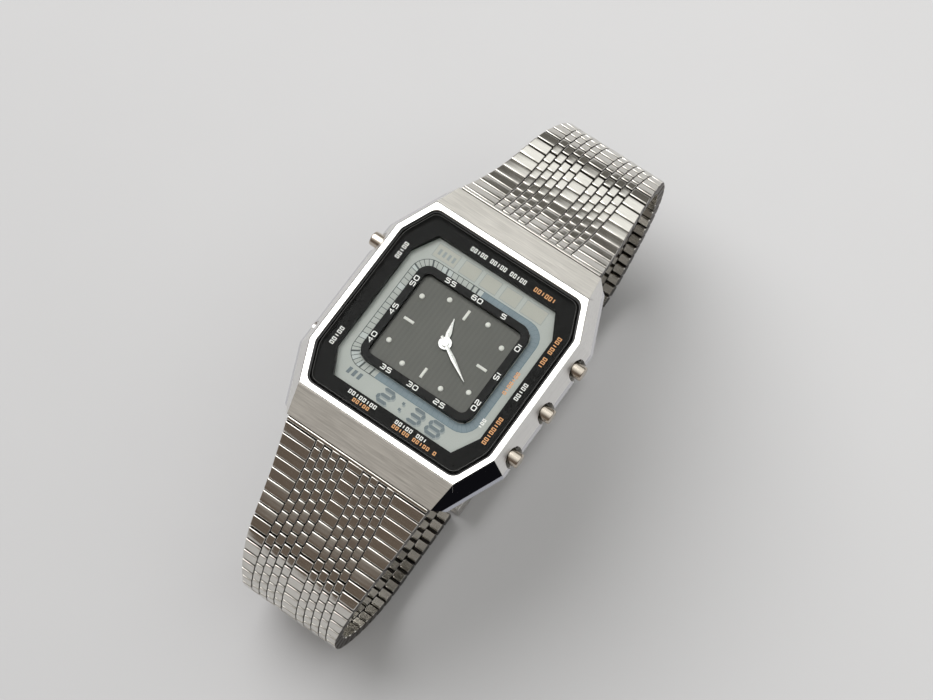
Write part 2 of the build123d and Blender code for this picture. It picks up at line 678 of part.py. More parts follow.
def battery():
    rim = BATTERY_TOP + BATTERY_STEP
    body = disc(BATTERY_RADIUS - BATTERY_STEP, BATTERY_TOP, BATTERY_STEP, BATTERY_X, BATTERY_Y)
    return body + disc(BATTERY_RADIUS, rim, BATTERY_HEIGHT - BATTERY_STEP, BATTERY_X, BATTERY_Y)


def battery_clamp():
    # A leaf across the battery with a foot on the circuit board at each end
    top = BATTERY_TOP + BATTERY_HEIGHT
    board_foot = BOARD_TOP + BOARD_THICKNESS
    leaf = Box(2 * CLAMP_REACH, 2 * CLAMP_HALF_WIDTH, CLAMP_THICKNESS)
    body = Pos(BATTERY_X, BATTERY_Y, -top - CLAMP_THICKNESS / 2) * leaf
    leg = Box(CLAMP_THICKNESS * 2, 2 * CLAMP_HALF_WIDTH, top - board_foot)
    for side in (1, -1):
        leg_x = BATTERY_X + side * (CLAMP_REACH - CLAMP_THICKNESS)
        body += Pos(leg_x, BATTERY_Y, -(top + board_foot) / 2) * leg
    return body


def quartz_can():
    body = Rot(90, 0, 0) * Cylinder(QUARTZ_RADIUS, QUARTZ_LENGTH)
    return Pos(QUARTZ_X, QUARTZ_Y, -BOARD_TOP + QUARTZ_RADIUS) * body


def elastomer_connectors():
    height = BOARD_TOP - LCD_BACK
    strip = Box(CONNECTOR_LENGTH, CONNECTOR_WIDTH, height)
    z = -LCD_BACK - height / 2
    return Compound(children=[Pos(0, side * CONNECTOR_Y, z) * strip for side in (1, -1)])


def module_frame():
    height = MODULE_FOOT - LCD_BACK
    body = slab(head_outline(MODULE_INSET, LCD_BACK), height)
    return body - slab(head_outline(MODULE_INSET + MODULE_WALL, LCD_BACK), height)


def case_back():
    plate = slab(head_outline(BACK_INSET, CASE_DEPTH), BACK_PLATE)
    plate = chamfer(plate.faces().sort_by(Axis.Z)[0].edges(), BACK_EDGE)
    plug = slab(head_outline(CASE_WALL + FIT_SIDE, CASE_DEPTH - BACK_PLUG), BACK_PLUG)
    plug -= slab(head_outline(CASE_WALL + FIT_SIDE + BACK_SEAL_WIDTH, CASE_DEPTH - BACK_PLUG), BACK_PLUG)
    body = plate + plug
    face = CASE_DEPTH + BACK_PLATE
    for x, y in screw_places():
        body -= disc(SCREW_RADIUS + FIT_SIDE / 2, CASE_DEPTH, BACK_PLATE, x, y)
        body -= disc(SCREW_HEAD_RADIUS + FIT_SIDE / 2, face - SCREW_HEAD_HEIGHT, SCREW_HEAD_HEIGHT, x, y)
    return body


def case_back_gasket():
    # A flat seal on the case back, inside its plug
    inset = CASE_WALL + FIT_SIDE + BACK_SEAL_WIDTH
    body = slab(head_outline(inset, CASE_DEPTH - BACK_SEAL_HEIGHT), BACK_SEAL_HEIGHT)
    hollow = head_outline(inset + BACK_SEAL_WIDTH, CASE_DEPTH - BACK_SEAL_HEIGHT)
    return body - slab(hollow, BACK_SEAL_HEIGHT)


def screw_places():
    return [(x, y) for x in (SCREW_X, -SCREW_X) for y in (SCREW_Y, -SCREW_Y)]


def case_back_screws():
    face = CASE_DEPTH + BACK_PLATE
    head = disc(SCREW_HEAD_RADIUS, face - SCREW_HEAD_HEIGHT, SCREW_HEAD_HEIGHT)
    shank_length = SCREW_LENGTH + BACK_PLATE - SCREW_HEAD_HEIGHT - FIT_SIDE
    shank = disc(SCREW_RADIUS - PIVOT_FIT, face - SCREW_HEAD_HEIGHT - shank_length, shank_length)
    slot = Box(2 * SCREW_HEAD_RADIUS, SCREW_SLOT_WIDTH, SCREW_SLOT_DEPTH)
    slot = Pos(0, 0, -face + SCREW_SLOT_DEPTH / 2) * slot
    screw = head + shank - slot
    return Compound(children=[Pos(x, y, 0) * screw for x, y in screw_places()])


def case_spring_bars():
    tip = LUG_SLOT_HALF + BAR_TIP_LENGTH - FIT_SIDE
    half = LUG_SLOT_HALF - FIT_SIDE
    bar = rod(BAR_RADIUS, -half, half, 0, 0) + rod(BAR_TIP_RADIUS, -tip, tip, 0, 0)
    return Compound(children=[Pos(0, side * BAR_REACH, -BAR_DEPTH) * bar for side in (1, -1)])


def pusher(side, y):
    z = -PUSHER_DEPTH
    flange_x = BUSH_FACE_X - BUSH_LENGTH - RUNNING_FIT
    cap = rod(PUSHER_CAP_RADIUS, side * flange_x, side * PUSHER_TIP_X, y, z)
    rim = cap.faces().sort_by(Axis.X)[-1 if side > 0 else 0].edges()
    cap = chamfer(rim, PUSHER_CAP_EDGE)
    flange = rod(PUSHER_FLANGE_RADIUS, side * (flange_x - PUSHER_FLANGE), side * flange_x, y, z)
    stem = rod(PUSHER_STEM_RADIUS, side * STEM_END_X, side * flange_x, y, z)
    return cap + flange + stem


def pusher_bushes():
    outer = PUSHER_CAP_RADIUS + RUNNING_FIT + BUSH_WALL
    inner = PUSHER_CAP_RADIUS + RUNNING_FIT
    start = BUSH_FACE_X - BUSH_LENGTH
    bush = rod(outer, start, BUSH_FACE_X, 0, 0) - rod(inner, start, BUSH_FACE_X, 0, 0)
    shift = BUSH_FACE_X + start
    laid = []
    for side, y in PUSHER_PLACES.values():
        laid.append(Pos(0 if side > 0 else -shift, y, -PUSHER_DEPTH) * bush)
    return Compound(children=laid)


def pusher_spring(side, y):
    # A coil spring between the seat in the case and the pusher's flange
    flange_x = BUSH_FACE_X - BUSH_LENGTH - RUNNING_FIT - PUSHER_FLANGE
    room = flange_x - SPRING_SEAT_X
    height = room - 4 * SPRING_WIRE_RADIUS
    path = Helix(height / SPRING_TURNS, height, SPRING_RADIUS)
    section = Plane(origin=path @ 0, z_dir=path % 0) * Circle(SPRING_WIRE_RADIUS)
    coil_body = sweep(section, path=path, is_frenet=True)
    laid = Rot(0, 90, 0) * coil_body
    start = SPRING_SEAT_X + 2 * SPRING_WIRE_RADIUS
    x = start if side > 0 else -start - height
    return Pos(x, y, -PUSHER_DEPTH) * laid


def set_button():
    z = -PUSHER_DEPTH
    head = rod(SET_RADIUS, -SET_FACE_X + SET_HEAD, -SET_FACE_X, PUSHER_LOWER_Y, z)
    return head + rod(SET_STEM_RADIUS, -STEM_END_X, -SET_FACE_X, PUSHER_LOWER_Y, z)


def direction_at(turns, row):
    # Degrees below the horizontal at a row, between the rows that are given
    for (row_a, turn_a), (row_b, turn_b) in zip(turns, turns[1:]):
        if row <= row_b:
            share = (row - row_a) / (row_b - row_a)
            return turn_a + share * (turn_b - turn_a)
    return turns[-1][1]


def bracelet_line(turns):
    # Points at the half rows along the middle of the bracelet, as reach and height
    reach = END_PIVOT_REACH
    height = -END_PIVOT_DEPTH
    points = [(reach, height)]
    for step in range(SECTION_HALF_ROWS * SECTIONS):
        turn = math.radians(direction_at(turns, (step + 1 / 2) / 2))
        reach += HALF_PITCH * math.cos(turn)
        height -= HALF_PITCH * math.sin(turn)
        points.append((reach, height))
    return points


LINE_12 = bracelet_line(UPPER_TURNS)
LINE_6 = bracelet_line(LOWER_TURNS)
HALF_THICKNESS = BRACELET_THICKNESS / 2
LAST_HALF_ROW = SECTION_HALF_ROWS * SECTIONS
FLOOR_LEVEL = LINE_12[-1][1] - HALF_THICKNESS - CLASP_LIFT
COVER_END_12 = LINE_12[-1][0] - COVER_GAP_12
COVER_END_6 = -LINE_6[-1][0] + COVER_GAP_6
CLASP_CENTRE_Y = (COVER_END_12 + COVER_END_6) / 2
END_PIN_Y = LINE_12[-1][0] + END_PIN_INSET


def chord(line, first, last):
    # Middle point, direction and outward normal of the straight line between two half rows
    (y_a, z_a), (y_b, z_b) = line[first], line[last]
    length = math.hypot(y_b - y_a, z_b - z_a)
    along = ((y_b - y_a) / length, (z_b - z_a) / length)
    return ((y_a + y_b) / 2, (z_a + z_b) / 2), along, (-along[1], along[0]), length


def placed(frame, places):
    middle, along, normal, _ = frame
    made = []
    for t, n in places:
        made.append((middle[0] + t * along[0] + n * normal[0], middle[1] + t * along[1] + n * normal[1]))
    return made


def column_outline(line, starts):
    # The side view of one column: its links stand on a thin floor with grooves between them
    outer = []
    inner = []
    for start in starts:
        frame = chord(line, start, start + 2)
        end = frame[3] / 2 - LINK_GAP / 2
        shoulder = HALF_THICKNESS - LINK_EDGE
        heel = HALF_THICKNESS - LINK_INNER_RISE
        outer_edge = end - LINK_EDGE
        inner_edge = end - LINK_INNER_EDGE
        top = [(-end, shoulder), (-outer_edge, HALF_THICKNESS), (outer_edge, HALF_THICKNESS), (end, shoulder)]
        foot = [(-end, -heel), (-inner_edge, -HALF_THICKNESS), (inner_edge, -HALF_THICKNESS), (end, -heel)]
        if start != starts[0]:
            top.insert(0, (-end, LINK_FLOOR))
            foot.insert(0, (-end, -LINK_FLOOR))
        if start != starts[-1]:
            top.append((end, LINK_FLOOR))
            foot.append((end, -LINK_FLOOR))
        outer += placed(frame, top)
        inner += placed(frame, foot)
    return outer + list(reversed(inner))


def band_outline(line, first, last):
    # The part that joins the columns, along the middle of the bracelet
    outer = []
    inner = []
    for half_row in range(first, last + 1):
        before = max(half_row - 1, first)
        after = min(half_row + 1, last)
        _, along, normal, _ = chord(line, before, after)
        shift = LINK_GAP if half_row == first else -LINK_GAP if half_row == last else 0
        y = line[half_row][0] + shift * along[0]
        z = line[half_row][1] + shift * along[1]
        outer.append((y + BAND_HALF * normal[0], z + BAND_HALF * normal[1]))
        inner.append((y - BAND_HALF * normal[0], z - BAND_HALF * normal[1]))
    return outer + list(reversed(inner))


def half_width(half_row):
    share = min(half_row / 2 / TAPER_ROWS, 1)
    return START_HALF_WIDTH + share * (CLASP_HALF_WIDTH - START_HALF_WIDTH)


def drawn(side, points, x0, x1):
    # A side view drawn out along X between two places
    face = make_face(Polyline([(x0, side * y, z) for y, z in points], close=True))
    return extrude(face, amount=x1 - x0, dir=(1, 0, 0))


def column_bounds():
    # Places along X between the columns on the positive side, and each column's parity
    inner = CENTRE_COLUMN_HALF
    bounds = []
    for number in range(SMALL_COLUMNS):
        bounds.append((inner + number * SMALL_COLUMN, inner + (number + 1) * SMALL_COLUMN, number % 2))
    bounds.append((inner + SMALL_COLUMNS * SMALL_COLUMN, START_HALF_WIDTH + OVERRUN, SMALL_COLUMNS % 2))
    return bounds


def columns(side, outlines):
    # All the columns of a section; the centre one has the other parity than its neighbours
    edge = COLUMN_GAP / 2
    body = drawn(side, outlines[1], edge - CENTRE_COLUMN_HALF, CENTRE_COLUMN_HALF - edge)
    bodies = [body]
    for x0, x1, parity in column_bounds():
        bodies.append(drawn(side, outlines[parity], x0 + edge, x1 - edge))
        bodies.append(drawn(side, outlines[parity], edge - x1, -x0 - edge))
    return bodies


def eight_sided(radius, side, centre, half_length):
    # A rod with eight flat sides along X
    sides = 8
    turn = 360 / sides
    points = [polar(radius, turn / 2 + turn * number) for number in range(sides)]
    return side_profile([(side * centre[0] + y, centre[1] + z) for y, z in points], half_length)


def pivot(line, half_row):
    (y_a, z_a), (y_b, z_b) = line[half_row], line[half_row + 1]
    return (y_a + y_b) / 2, (z_a + z_b) / 2


def tapered(body, side, line, first, last):
    # Both flanks cut back to the bracelet's taper
    (y_a, z_a), (y_b, z_b) = line[first], line[last]
    _, _, normal, _ = chord(line, first, last)
    along = Vector(half_width(last) - half_width(first), side * (y_b - y_a), z_b - z_a)
    upright = Vector(0, side * normal[0], normal[1])
    outward = along.cross(upright)
    if outward.X < 0:
        outward = outward * -1
    flank = Plane(origin=(half_width(first), side * y_a, z_a), z_dir=outward)
    body = split(body, bisect_by=flank, keep=Keep.BOTTOM)
    mirrored = Plane(origin=(-half_width(first), side * y_a, z_a), z_dir=(-outward.X, outward.Y, outward.Z))
    return split(body, bisect_by=mirrored, keep=Keep.BOTTOM)


def bracelet_section(side, line, number):
    first = number * SECTION_HALF_ROWS
    last = first + SECTION_HALF_ROWS
    outlines = {}
    for parity in (0, 1):
        starts = [start for start in range(first, last) if start % 2 == parity and start + 2 <= LAST_HALF_ROW]
        outlines[parity] = column_outline(line, starts)
    reach = START_HALF_WIDTH + OVERRUN
    body = drawn(side, band_outline(line, first + 1, last), -reach, reach)
    body = body.fuse(*columns(side, outlines))
    body = tapered(body, side, line, first, last)
    bore = (LINK_PIN_RADIUS + LINK_PIN_FIT) / math.cos(math.pi / 8)
    body -= eight_sided(bore, side, pivot(line, first), START_HALF_WIDTH + OVERRUN)
    if last < LAST_HALF_ROW:
        body += eight_sided(LINK_PIN_RADIUS, side, pivot(line, last), half_width(last) - PIN_INSET)
    return body


def last_section_12():
    # The end of the bracelet at the clasp's blades, with a notch for their barrel
    body = bracelet_section(1, LINE_12, SECTIONS - 1)
    notch_half = CENTRE_COLUMN_HALF + 2 * SMALL_COLUMN
    end, level = LINE_12[-1]
    body -= Pos(0, end, level) * Box(2 * notch_half, 2 * END_NOTCH, 2 * BRACELET_THICKNESS)
    return body - rod(CLASP_PIN_RADIUS, -COVER_HALF_WIDTH, COVER_HALF_WIDTH, END_PIN_Y, level)


def end_link(side, line):
    # A solid strip against the hood, half links towards the bracelet and a tongue for the bar
    middle, along, normal, length = chord(line, 0, 1)
    lean = math.radians(END_LINK_TILT)
    start, level = line[0]
    hood_gap = (start - HOOD_REACH) * math.cos(lean) + (-level - HOOD_DROP) * math.sin(lean) - HOOD_GAP
    frame = ((start, level), (math.cos(lean), -math.sin(lean)), (math.sin(lean), math.cos(lean)), length)
    strip = [(-hood_gap, -HALF_THICKNESS), (-hood_gap, HALF_THICKNESS), (-LINK_GAP / 2, HALF_THICKNESS)]
    strip.append((-LINK_GAP / 2, -HALF_THICKNESS))
    body = drawn(side, placed(frame, strip), -half_width(0), half_width(0))
    finger_end = length / 2 - LINK_GAP / 2
    finger = [(-length, -HALF_THICKNESS), (-length, HALF_THICKNESS), (finger_end - LINK_EDGE, HALF_THICKNESS)]
    finger += [(finger_end, HALF_THICKNESS - LINK_EDGE), (finger_end, LINK_INNER_RISE - HALF_THICKNESS)]
    finger.append((finger_end - LINK_INNER_EDGE, -HALF_THICKNESS))
    finger_frame = (middle, along, normal, length)
    profile = placed(finger_frame, finger)
    edge = COLUMN_GAP / 2
    parts = [drawn(side, profile, edge - CENTRE_COLUMN_HALF, CENTRE_COLUMN_HALF - edge)]
    for x0, x1, parity in column_bounds():
        if parity == 1:
            parts.append(drawn(side, profile, x0 + edge, x1 - edge))
            parts.append(drawn(side, profile, edge - x1, -x0 - edge))
    body = body.fuse(*parts)
    body -= drawn(side, hood_side(hood_gap, frame), -half_width(0), half_width(0))
    body += eight_sided(LINK_PIN_RADIUS, side, pivot(line, 0), half_width(0) - PIN_INSET)
    tongue_half = LUG_SLOT_HALF - FIT_SIDE
    back = placed(frame, [(-hood_gap + LINK_GAP, -HALF_THICKNESS)])[0]
    roof = placed(frame, [(-hood_gap, 0)])[0]
    tongue = [(TONGUE_REACH, -TONGUE_DEPTH), (roof[0] + LINK_GAP, -TONGUE_DEPTH), back]
    tongue += [(back[0], -TONGUE_FOOT), (TONGUE_REACH, -TONGUE_FOOT)]
    body += drawn(side, tongue, -tongue_half, tongue_half)
    bore = BAR_RADIUS + RUNNING_FIT
    return body - rod(bore, -START_HALF_WIDTH, START_HALF_WIDTH, side * BAR_REACH, -BAR_DEPTH)


def hood_side(hood_gap, frame):
    # The space on the hood's side of the end link's back face
    far = hood_gap + BRACELET_THICKNESS
    places = [(-far, -BRACELET_THICKNESS), (-far, BRACELET_THICKNESS)]
    places += [(-hood_gap, BRACELET_THICKNESS), (-hood_gap, -BRACELET_THICKNESS)]
    return placed(frame, places)


def on_floor(level):
    return FLOOR_LEVEL + level


def clasp_bar_place():
    return COVER_END_6 + CLASP_BAR_INSET


def cover_pin_place():
    return COVER_END_12 - COVER_PIN_INSET


def blade_pin_place():
    return COVER_END_6 + BLADE_PIN_INSET


def clasp_cover():
    # A channel with its plate on the outside, open at the blades' end
    length = COVER_END_12 - COVER_END_6
    block = Box(2 * COVER_HALF_WIDTH, length, COVER_HEIGHT)
    outer = Pos(0, CLASP_CENTRE_Y, on_floor(COVER_HEIGHT / 2)) * block
    outer = chamfer(outer.edges().filter_by(Axis.Y), COVER_EDGE)
    inner_width = 2 * (COVER_HALF_WIDTH - COVER_WALL)
    hollow = Box(inner_width, length, COVER_HEIGHT)
    body = outer - Pos(0, CLASP_CENTRE_Y, on_floor(COVER_PLATE + COVER_HEIGHT / 2)) * hollow
    notch_half = CENTRE_COLUMN_HALF + 2 * SMALL_COLUMN
    body -= Pos(0, COVER_END_12, FLOOR_LEVEL) * Box(2 * notch_half, 2 * COVER_NOTCH, 2 * COVER_HEIGHT)
    reach = COVER_HALF_WIDTH - PIN_END_INSET
    body -= rod(CLASP_PIN_RADIUS, -reach, reach, cover_pin_place(), on_floor(COVER_PIN_LEVEL))
    return body - rod(BAR_TIP_RADIUS, -reach, reach, clasp_bar_place(), on_floor(CLASP_BAR_LEVEL))


def clasp_cover_pin():
    reach = COVER_HALF_WIDTH - PIN_END_INSET
    return rod(CLASP_PIN_RADIUS, -reach, reach, cover_pin_place(), on_floor(COVER_PIN_LEVEL))


def clasp_spring_bar():
    half = COVER_HALF_WIDTH - COVER_WALL - RUNNING_FIT
    tip = COVER_HALF_WIDTH - PIN_END_INSET
    bar = rod(CLASP_BAR_RADIUS, -half, half, clasp_bar_place(), on_floor(CLASP_BAR_LEVEL))
    return bar + rod(BAR_TIP_RADIUS, -tip, tip, clasp_bar_place(), on_floor(CLASP_BAR_LEVEL))


def clasp_blade_pin():
    reach = BLADE_HALF_WIDTH
    return rod(CLASP_PIN_RADIUS, -reach, reach, blade_pin_place(), on_floor(BLADE_PIN_LEVEL))


def clasp_end_pin():
    reach = CLASP_HALF_WIDTH - PIN_INSET
    return rod(CLASP_PIN_RADIUS, -reach, reach, END_PIN_Y, LINE_12[-1][1])


def blade(y0, y1, level):
    plate = Box(2 * BLADE_HALF_WIDTH, y1 - y0, BLADE_THICKNESS)
    return Pos(0, (y0 + y1) / 2, on_floor(level + BLADE_THICKNESS / 2)) * plate


def knuckle(x0, x1, y, level):
    return rod(KNUCKLE_RADIUS, x0, x1, y, on_floor(level))


def clasp_middle_blade():
    fold = blade_pin_place()
    clear = KNUCKLE_RADIUS + KNUCKLE_GAP
    body = blade(fold + clear, cover_pin_place(), MIDDLE_BLADE_LEVEL)
    lap = Box(2 * KNUCKLE_HALF_WIDTH, clear + BLADE_THICKNESS, BLADE_THICKNESS)
    lap_level = on_floor(MIDDLE_BLADE_LEVEL + BLADE_THICKNESS / 2)
    body += Pos(0, fold + (clear + BLADE_THICKNESS) / 2, lap_level) * lap
    body += knuckle(-KNUCKLE_HALF_WIDTH, KNUCKLE_HALF_WIDTH, fold, BLADE_PIN_LEVEL)
    body += knuckle(-BLADE_HALF_WIDTH, BLADE_HALF_WIDTH, cover_pin_place(), COVER_PIN_LEVEL)
    bore = CLASP_PIN_RADIUS + RUNNING_FIT
    body -= rod(bore, -BLADE_HALF_WIDTH, BLADE_HALF_WIDTH, fold, on_floor(BLADE_PIN_LEVEL))
    return body - rod(bore, -BLADE_HALF_WIDTH, BLADE_HALF_WIDTH, cover_pin_place(), on_floor(COVER_PIN_LEVEL))


def clasp_inner_blade():
    fold = blade_pin_place()
    clear = KNUCKLE_RADIUS + KNUCKLE_GAP
    level = LINE_12[-1][1]
    body = blade(fold, END_PIN_Y, INNER_BLADE_LEVEL)
    riser_height = on_floor(INNER_BLADE_LEVEL + BLADE_THICKNESS) - level
    riser = Box(2 * BLADE_HALF_WIDTH, BLADE_THICKNESS, riser_height)
    body += Pos(0, END_PIN_Y - BLADE_THICKNESS / 2, level + riser_height / 2) * riser
    body += rod(END_BARREL_RADIUS, -BLADE_HALF_WIDTH, BLADE_HALF_WIDTH, END_PIN_Y, level)
    notch_half = KNUCKLE_HALF_WIDTH + KNUCKLE_GAP
    notch = Box(2 * notch_half, 2 * clear, COVER_HEIGHT)
    for side in (1, -1):
        x0 = side * notch_half
        x1 = side * BLADE_HALF_WIDTH
        body += knuckle(min(x0, x1), max(x0, x1), fold, BLADE_PIN_LEVEL)
    body -= Pos(0, fold, on_floor(BLADE_PIN_LEVEL)) * notch
    body -= rod(CLASP_PIN_RADIUS, -BLADE_HALF_WIDTH, BLADE_HALF_WIDTH, fold, on_floor(BLADE_PIN_LEVEL))
    bore = CLASP_PIN_RADIUS + RUNNING_FIT
    return body - rod(bore, -BLADE_HALF_WIDTH, BLADE_HALF_WIDTH, END_PIN_Y, level)


PARTS = {
    "case_body": case_body,
    "bezel": bezel,
    "crystal": crystal,
    "crystal_gasket": crystal_gasket,
    "display_frame": display_frame,
    "lcd_panel": lcd_panel,
    "minute_ring": minute_ring,
    "dial": dial,
    "main_plate": main_plate,
    "train_bridge": train_bridge,
    "stator": stator,
    "coil": coil,
    "circuit_board": circuit_board,
    "quartz_can": quartz_can,
    "battery": battery,
    "battery_clamp": battery_clamp,
    "elastomer_connectors": elastomer_connectors,
    "module_frame": module_frame,
    "case_back": case_back,
    "case_back_gasket": case_back_gasket,
    "case_back_screws": case_back_screws,
    "case_spring_bars": case_spring_bars,
    "pusher_bushes": pusher_bushes,
    "rotor": rotor,
    "intermediate_wheel": intermediate_wheel,
    "centre_wheel": centre_wheel,
    "minute_wheel": minute_wheel,
    "hour_wheel": hour_wheel,
    "hour_hand": hour_hand,
    "minute_hand": minute_hand,
    "set_button": set_button,
    "clasp_cover": clasp_cover,
    "clasp_middle_blade": clasp_middle_blade,
    "clasp_inner_blade": clasp_inner_blade,
    "clasp_cover_pin": clasp_cover_pin,
    "clasp_blade_pin": clasp_blade_pin,
    "clasp_end_pin": clasp_end_pin,
    "clasp_spring_bar": clasp_spring_bar,
    "bracelet_12_6": last_section_12,
}


def save(name, shape):
    # Move from the head's frame to the clasp's, and write the piece
    export_step(Pos(0, -CLASP_CENTRE_Y, -FLOOR_LEVEL) * shape, os.path.join("parts", name + ".step"))


def main():
    os.makedirs("parts", exist_ok=True)
    for name, make in PARTS.items():
        save(name, make())
    for name, (side, y) in PUSHER_PLACES.items():
        save("pusher_" + name, pusher(side, y))
        save("spring_" + name, pusher_spring(side, y))
    for name, side, line in (("12", 1, LINE_12), ("6", -1, LINE_6)):
        save("end_link_" + name, end_link(side, line))
        for number in range(SECTIONS):
            if side < 0 or number < SECTIONS - 1:
                save("bracelet_{}_{}".format(name, number + 1), bracelet_section(side, line, number))


main()
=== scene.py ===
from math import atan2, copysign, cos, degrees, hypot, pi, radians, sin
import random
import bmesh
import bpy
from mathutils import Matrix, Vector


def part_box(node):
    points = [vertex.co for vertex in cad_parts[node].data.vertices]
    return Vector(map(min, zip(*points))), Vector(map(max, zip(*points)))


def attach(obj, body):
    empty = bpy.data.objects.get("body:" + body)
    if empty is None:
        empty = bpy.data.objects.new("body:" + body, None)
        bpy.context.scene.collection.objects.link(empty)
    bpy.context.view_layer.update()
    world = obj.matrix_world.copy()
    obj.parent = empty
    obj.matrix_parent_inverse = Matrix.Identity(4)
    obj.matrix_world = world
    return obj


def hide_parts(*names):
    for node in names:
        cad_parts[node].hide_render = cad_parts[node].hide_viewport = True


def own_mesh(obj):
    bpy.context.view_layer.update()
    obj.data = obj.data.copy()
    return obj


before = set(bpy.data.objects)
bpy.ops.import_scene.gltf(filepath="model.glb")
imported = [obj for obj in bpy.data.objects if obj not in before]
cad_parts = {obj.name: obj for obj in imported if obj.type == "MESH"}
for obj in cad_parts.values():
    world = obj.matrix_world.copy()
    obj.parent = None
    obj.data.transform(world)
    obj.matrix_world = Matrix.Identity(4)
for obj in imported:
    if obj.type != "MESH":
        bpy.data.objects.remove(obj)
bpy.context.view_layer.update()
SEED = 11
random.seed(SEED)

# Lengths are millimetres in the head's frame, with x to 3 o'clock, y to 12 o'clock and z up
# from the top of the bezel, unless a comment says metres
MM = 0.001
HEAD_Y = -3.36091
HEAD_Z = 41.01246


def at(x, y, z):
    # A point of the head's frame in metres of the part's frame
    return Vector((x, y + HEAD_Y, z + HEAD_Z)) * MM


# Material nodes
NOISE_SPAN = (0.3, 0.7)
CLOUD_DETAIL = 2.0
EDGE_SAMPLES = 6


def new_material(name):
    mat = bpy.data.materials.new(name)
    mat.use_nodes = True
    mat.node_tree.nodes.clear()
    return mat, mat.node_tree


def node(tree, kind, inputs=None, **settings):
    # An input is a constant or the output that feeds it
    made = tree.nodes.new("ShaderNode" + kind)
    for key, value in settings.items():
        setattr(made, key, value)
    for key, value in (inputs or {}).items():
        if isinstance(value, bpy.types.NodeSocket):
            tree.links.new(value, made.inputs[key])
        else:
            made.inputs[key].default_value = value
    return made


def show(tree, shader):
    node(tree, "OutputMaterial", {"Surface": shader.outputs[0]})


def rgb(color):
    return (*color, 1.0)


def grain_space(tree, scale):
    # Object coordinates in millimetres, stretched by a scale per axis
    coords = node(tree, "TexCoord").outputs["Object"]
    inputs = {"Vector": coords, "Scale": [value / MM for value in scale]}
    return node(tree, "Mapping", inputs).outputs["Vector"]


def noise(tree, scale, detail=3.0):
    inputs = {"Vector": grain_space(tree, scale), "Scale": 1.0, "Detail": detail, "Roughness": 0.6}
    return node(tree, "TexNoise", inputs).outputs["Fac"]


def spread(tree, source, low, high, span=NOISE_SPAN, kind="LINEAR"):
    # A value that goes from low to high as the source goes over its span
    inputs = {"Value": source, "From Min": span[0], "From Max": span[1], "To Min": low, "To Max": high}
    return node(tree, "MapRange", inputs, interpolation_type=kind).outputs["Result"]


def product(tree, first, second):
    return node(tree, "Math", {0: first, 1: second}, operation="MULTIPLY").outputs[0]


def along_axis(tree, vector, axis):
    return node(tree, "VectorMath", {0: vector, 1: axis}, operation="DOT_PRODUCT").outputs["Value"]


def shade(tree, color, factor):
    # The colour times a factor
    return node(tree, "VectorMath", {0: color, "Scale": factor}, operation="SCALE").outputs[0]


def over(tree, base, color, share):
    # A colour over another by a share
    return node(tree, "Mix", {0: share, 6: base, 7: color}, data_type="RGBA").outputs[2]


def surface_normal(tree, lines, rounding, lift, bump):
    # Edges that shade as if rounded, a facet that leans further up than its solid, fine relief
    normal = None
    if rounding:
        bevel = node(tree, "Bevel", {"Radius": rounding * MM}, samples=EDGE_SAMPLES)
        normal = bevel.outputs["Normal"]
    if lift:
        base = node(tree, "NewGeometry").outputs["Normal"]
        shift = node(tree, "VectorMath", {0: base, 1: lift}, operation="ADD")
        unit = node(tree, "VectorMath", {0: shift.outputs[0]}, operation="NORMALIZE")
        normal = unit.outputs[0]
    if bump:
        inputs = {"Strength": 1.0, "Distance": bump * MM, "Height": lines}
        if normal:
            inputs["Normal"] = normal
        normal = node(tree, "Bump", inputs).outputs["Normal"]
    return normal


def surface(name, color, metallic, rough, grain, grain_dark, grain_rough=0.05, bump=0.0,
            cloud=(0.08, 0.08, 0.08), cloud_dark=0.06, rounding=0.0, specular=0.5, lift=None):
    # Fine grain and soft clouds darken the colour, and the grain varies the gloss
    mat, tree = new_material(name)
    lines = noise(tree, grain)
    shades = spread(tree, lines, 1 - grain_dark, 1.0)
    clouds = spread(tree, noise(tree, cloud, CLOUD_DETAIL), 1 - cloud_dark, 1.0)
    inputs = {
        "Metallic": metallic,
        "Specular IOR Level": specular,
        "Base Color": shade(tree, color, product(tree, shades, clouds)),
        "Roughness": spread(tree, lines, rough - grain_rough, rough + grain_rough),
    }
    normal = surface_normal(tree, lines, rounding, lift, bump)
    if normal:
        inputs["Normal"] = normal
    show(tree, node(tree, "BsdfPrincipled", inputs))
    return mat


def steel(name, color, rough, grain, grain_dark, grain_rough=0.05, bump=0.0, **more):
    return surface(name, color, 1.0, rough, grain, grain_dark, grain_rough, bump, **more)


def polished(name, color, rough, **more):
    return steel(name, color, rough, (0.8, 0.8, 0.8), 0.03, 0.02, **more)


def coating(name, color, rough, fineness, grain_dark, grain_rough=0.05, **more):
    # Print, plastic or glass with an even grain, fineness in specks per millimetre
    grain = (fineness, fineness, fineness)
    return surface(name, color, 0.0, rough, grain, grain_dark, grain_rough, **more)


GLASS_INDEX = 1.5
# What a flat glass reflects straight on, taken off so that the print below it stays dark
STRAIGHT_ON = 0.045
SMEAR_GRAIN = (0.15, 0.1, 0.1)
SMEAR_SHARE = 0.9
# Colour of a painted sheen, a pale diffuse share laid over glass
PAINTED_SHEEN = (0.6, 0.6, 0.58)


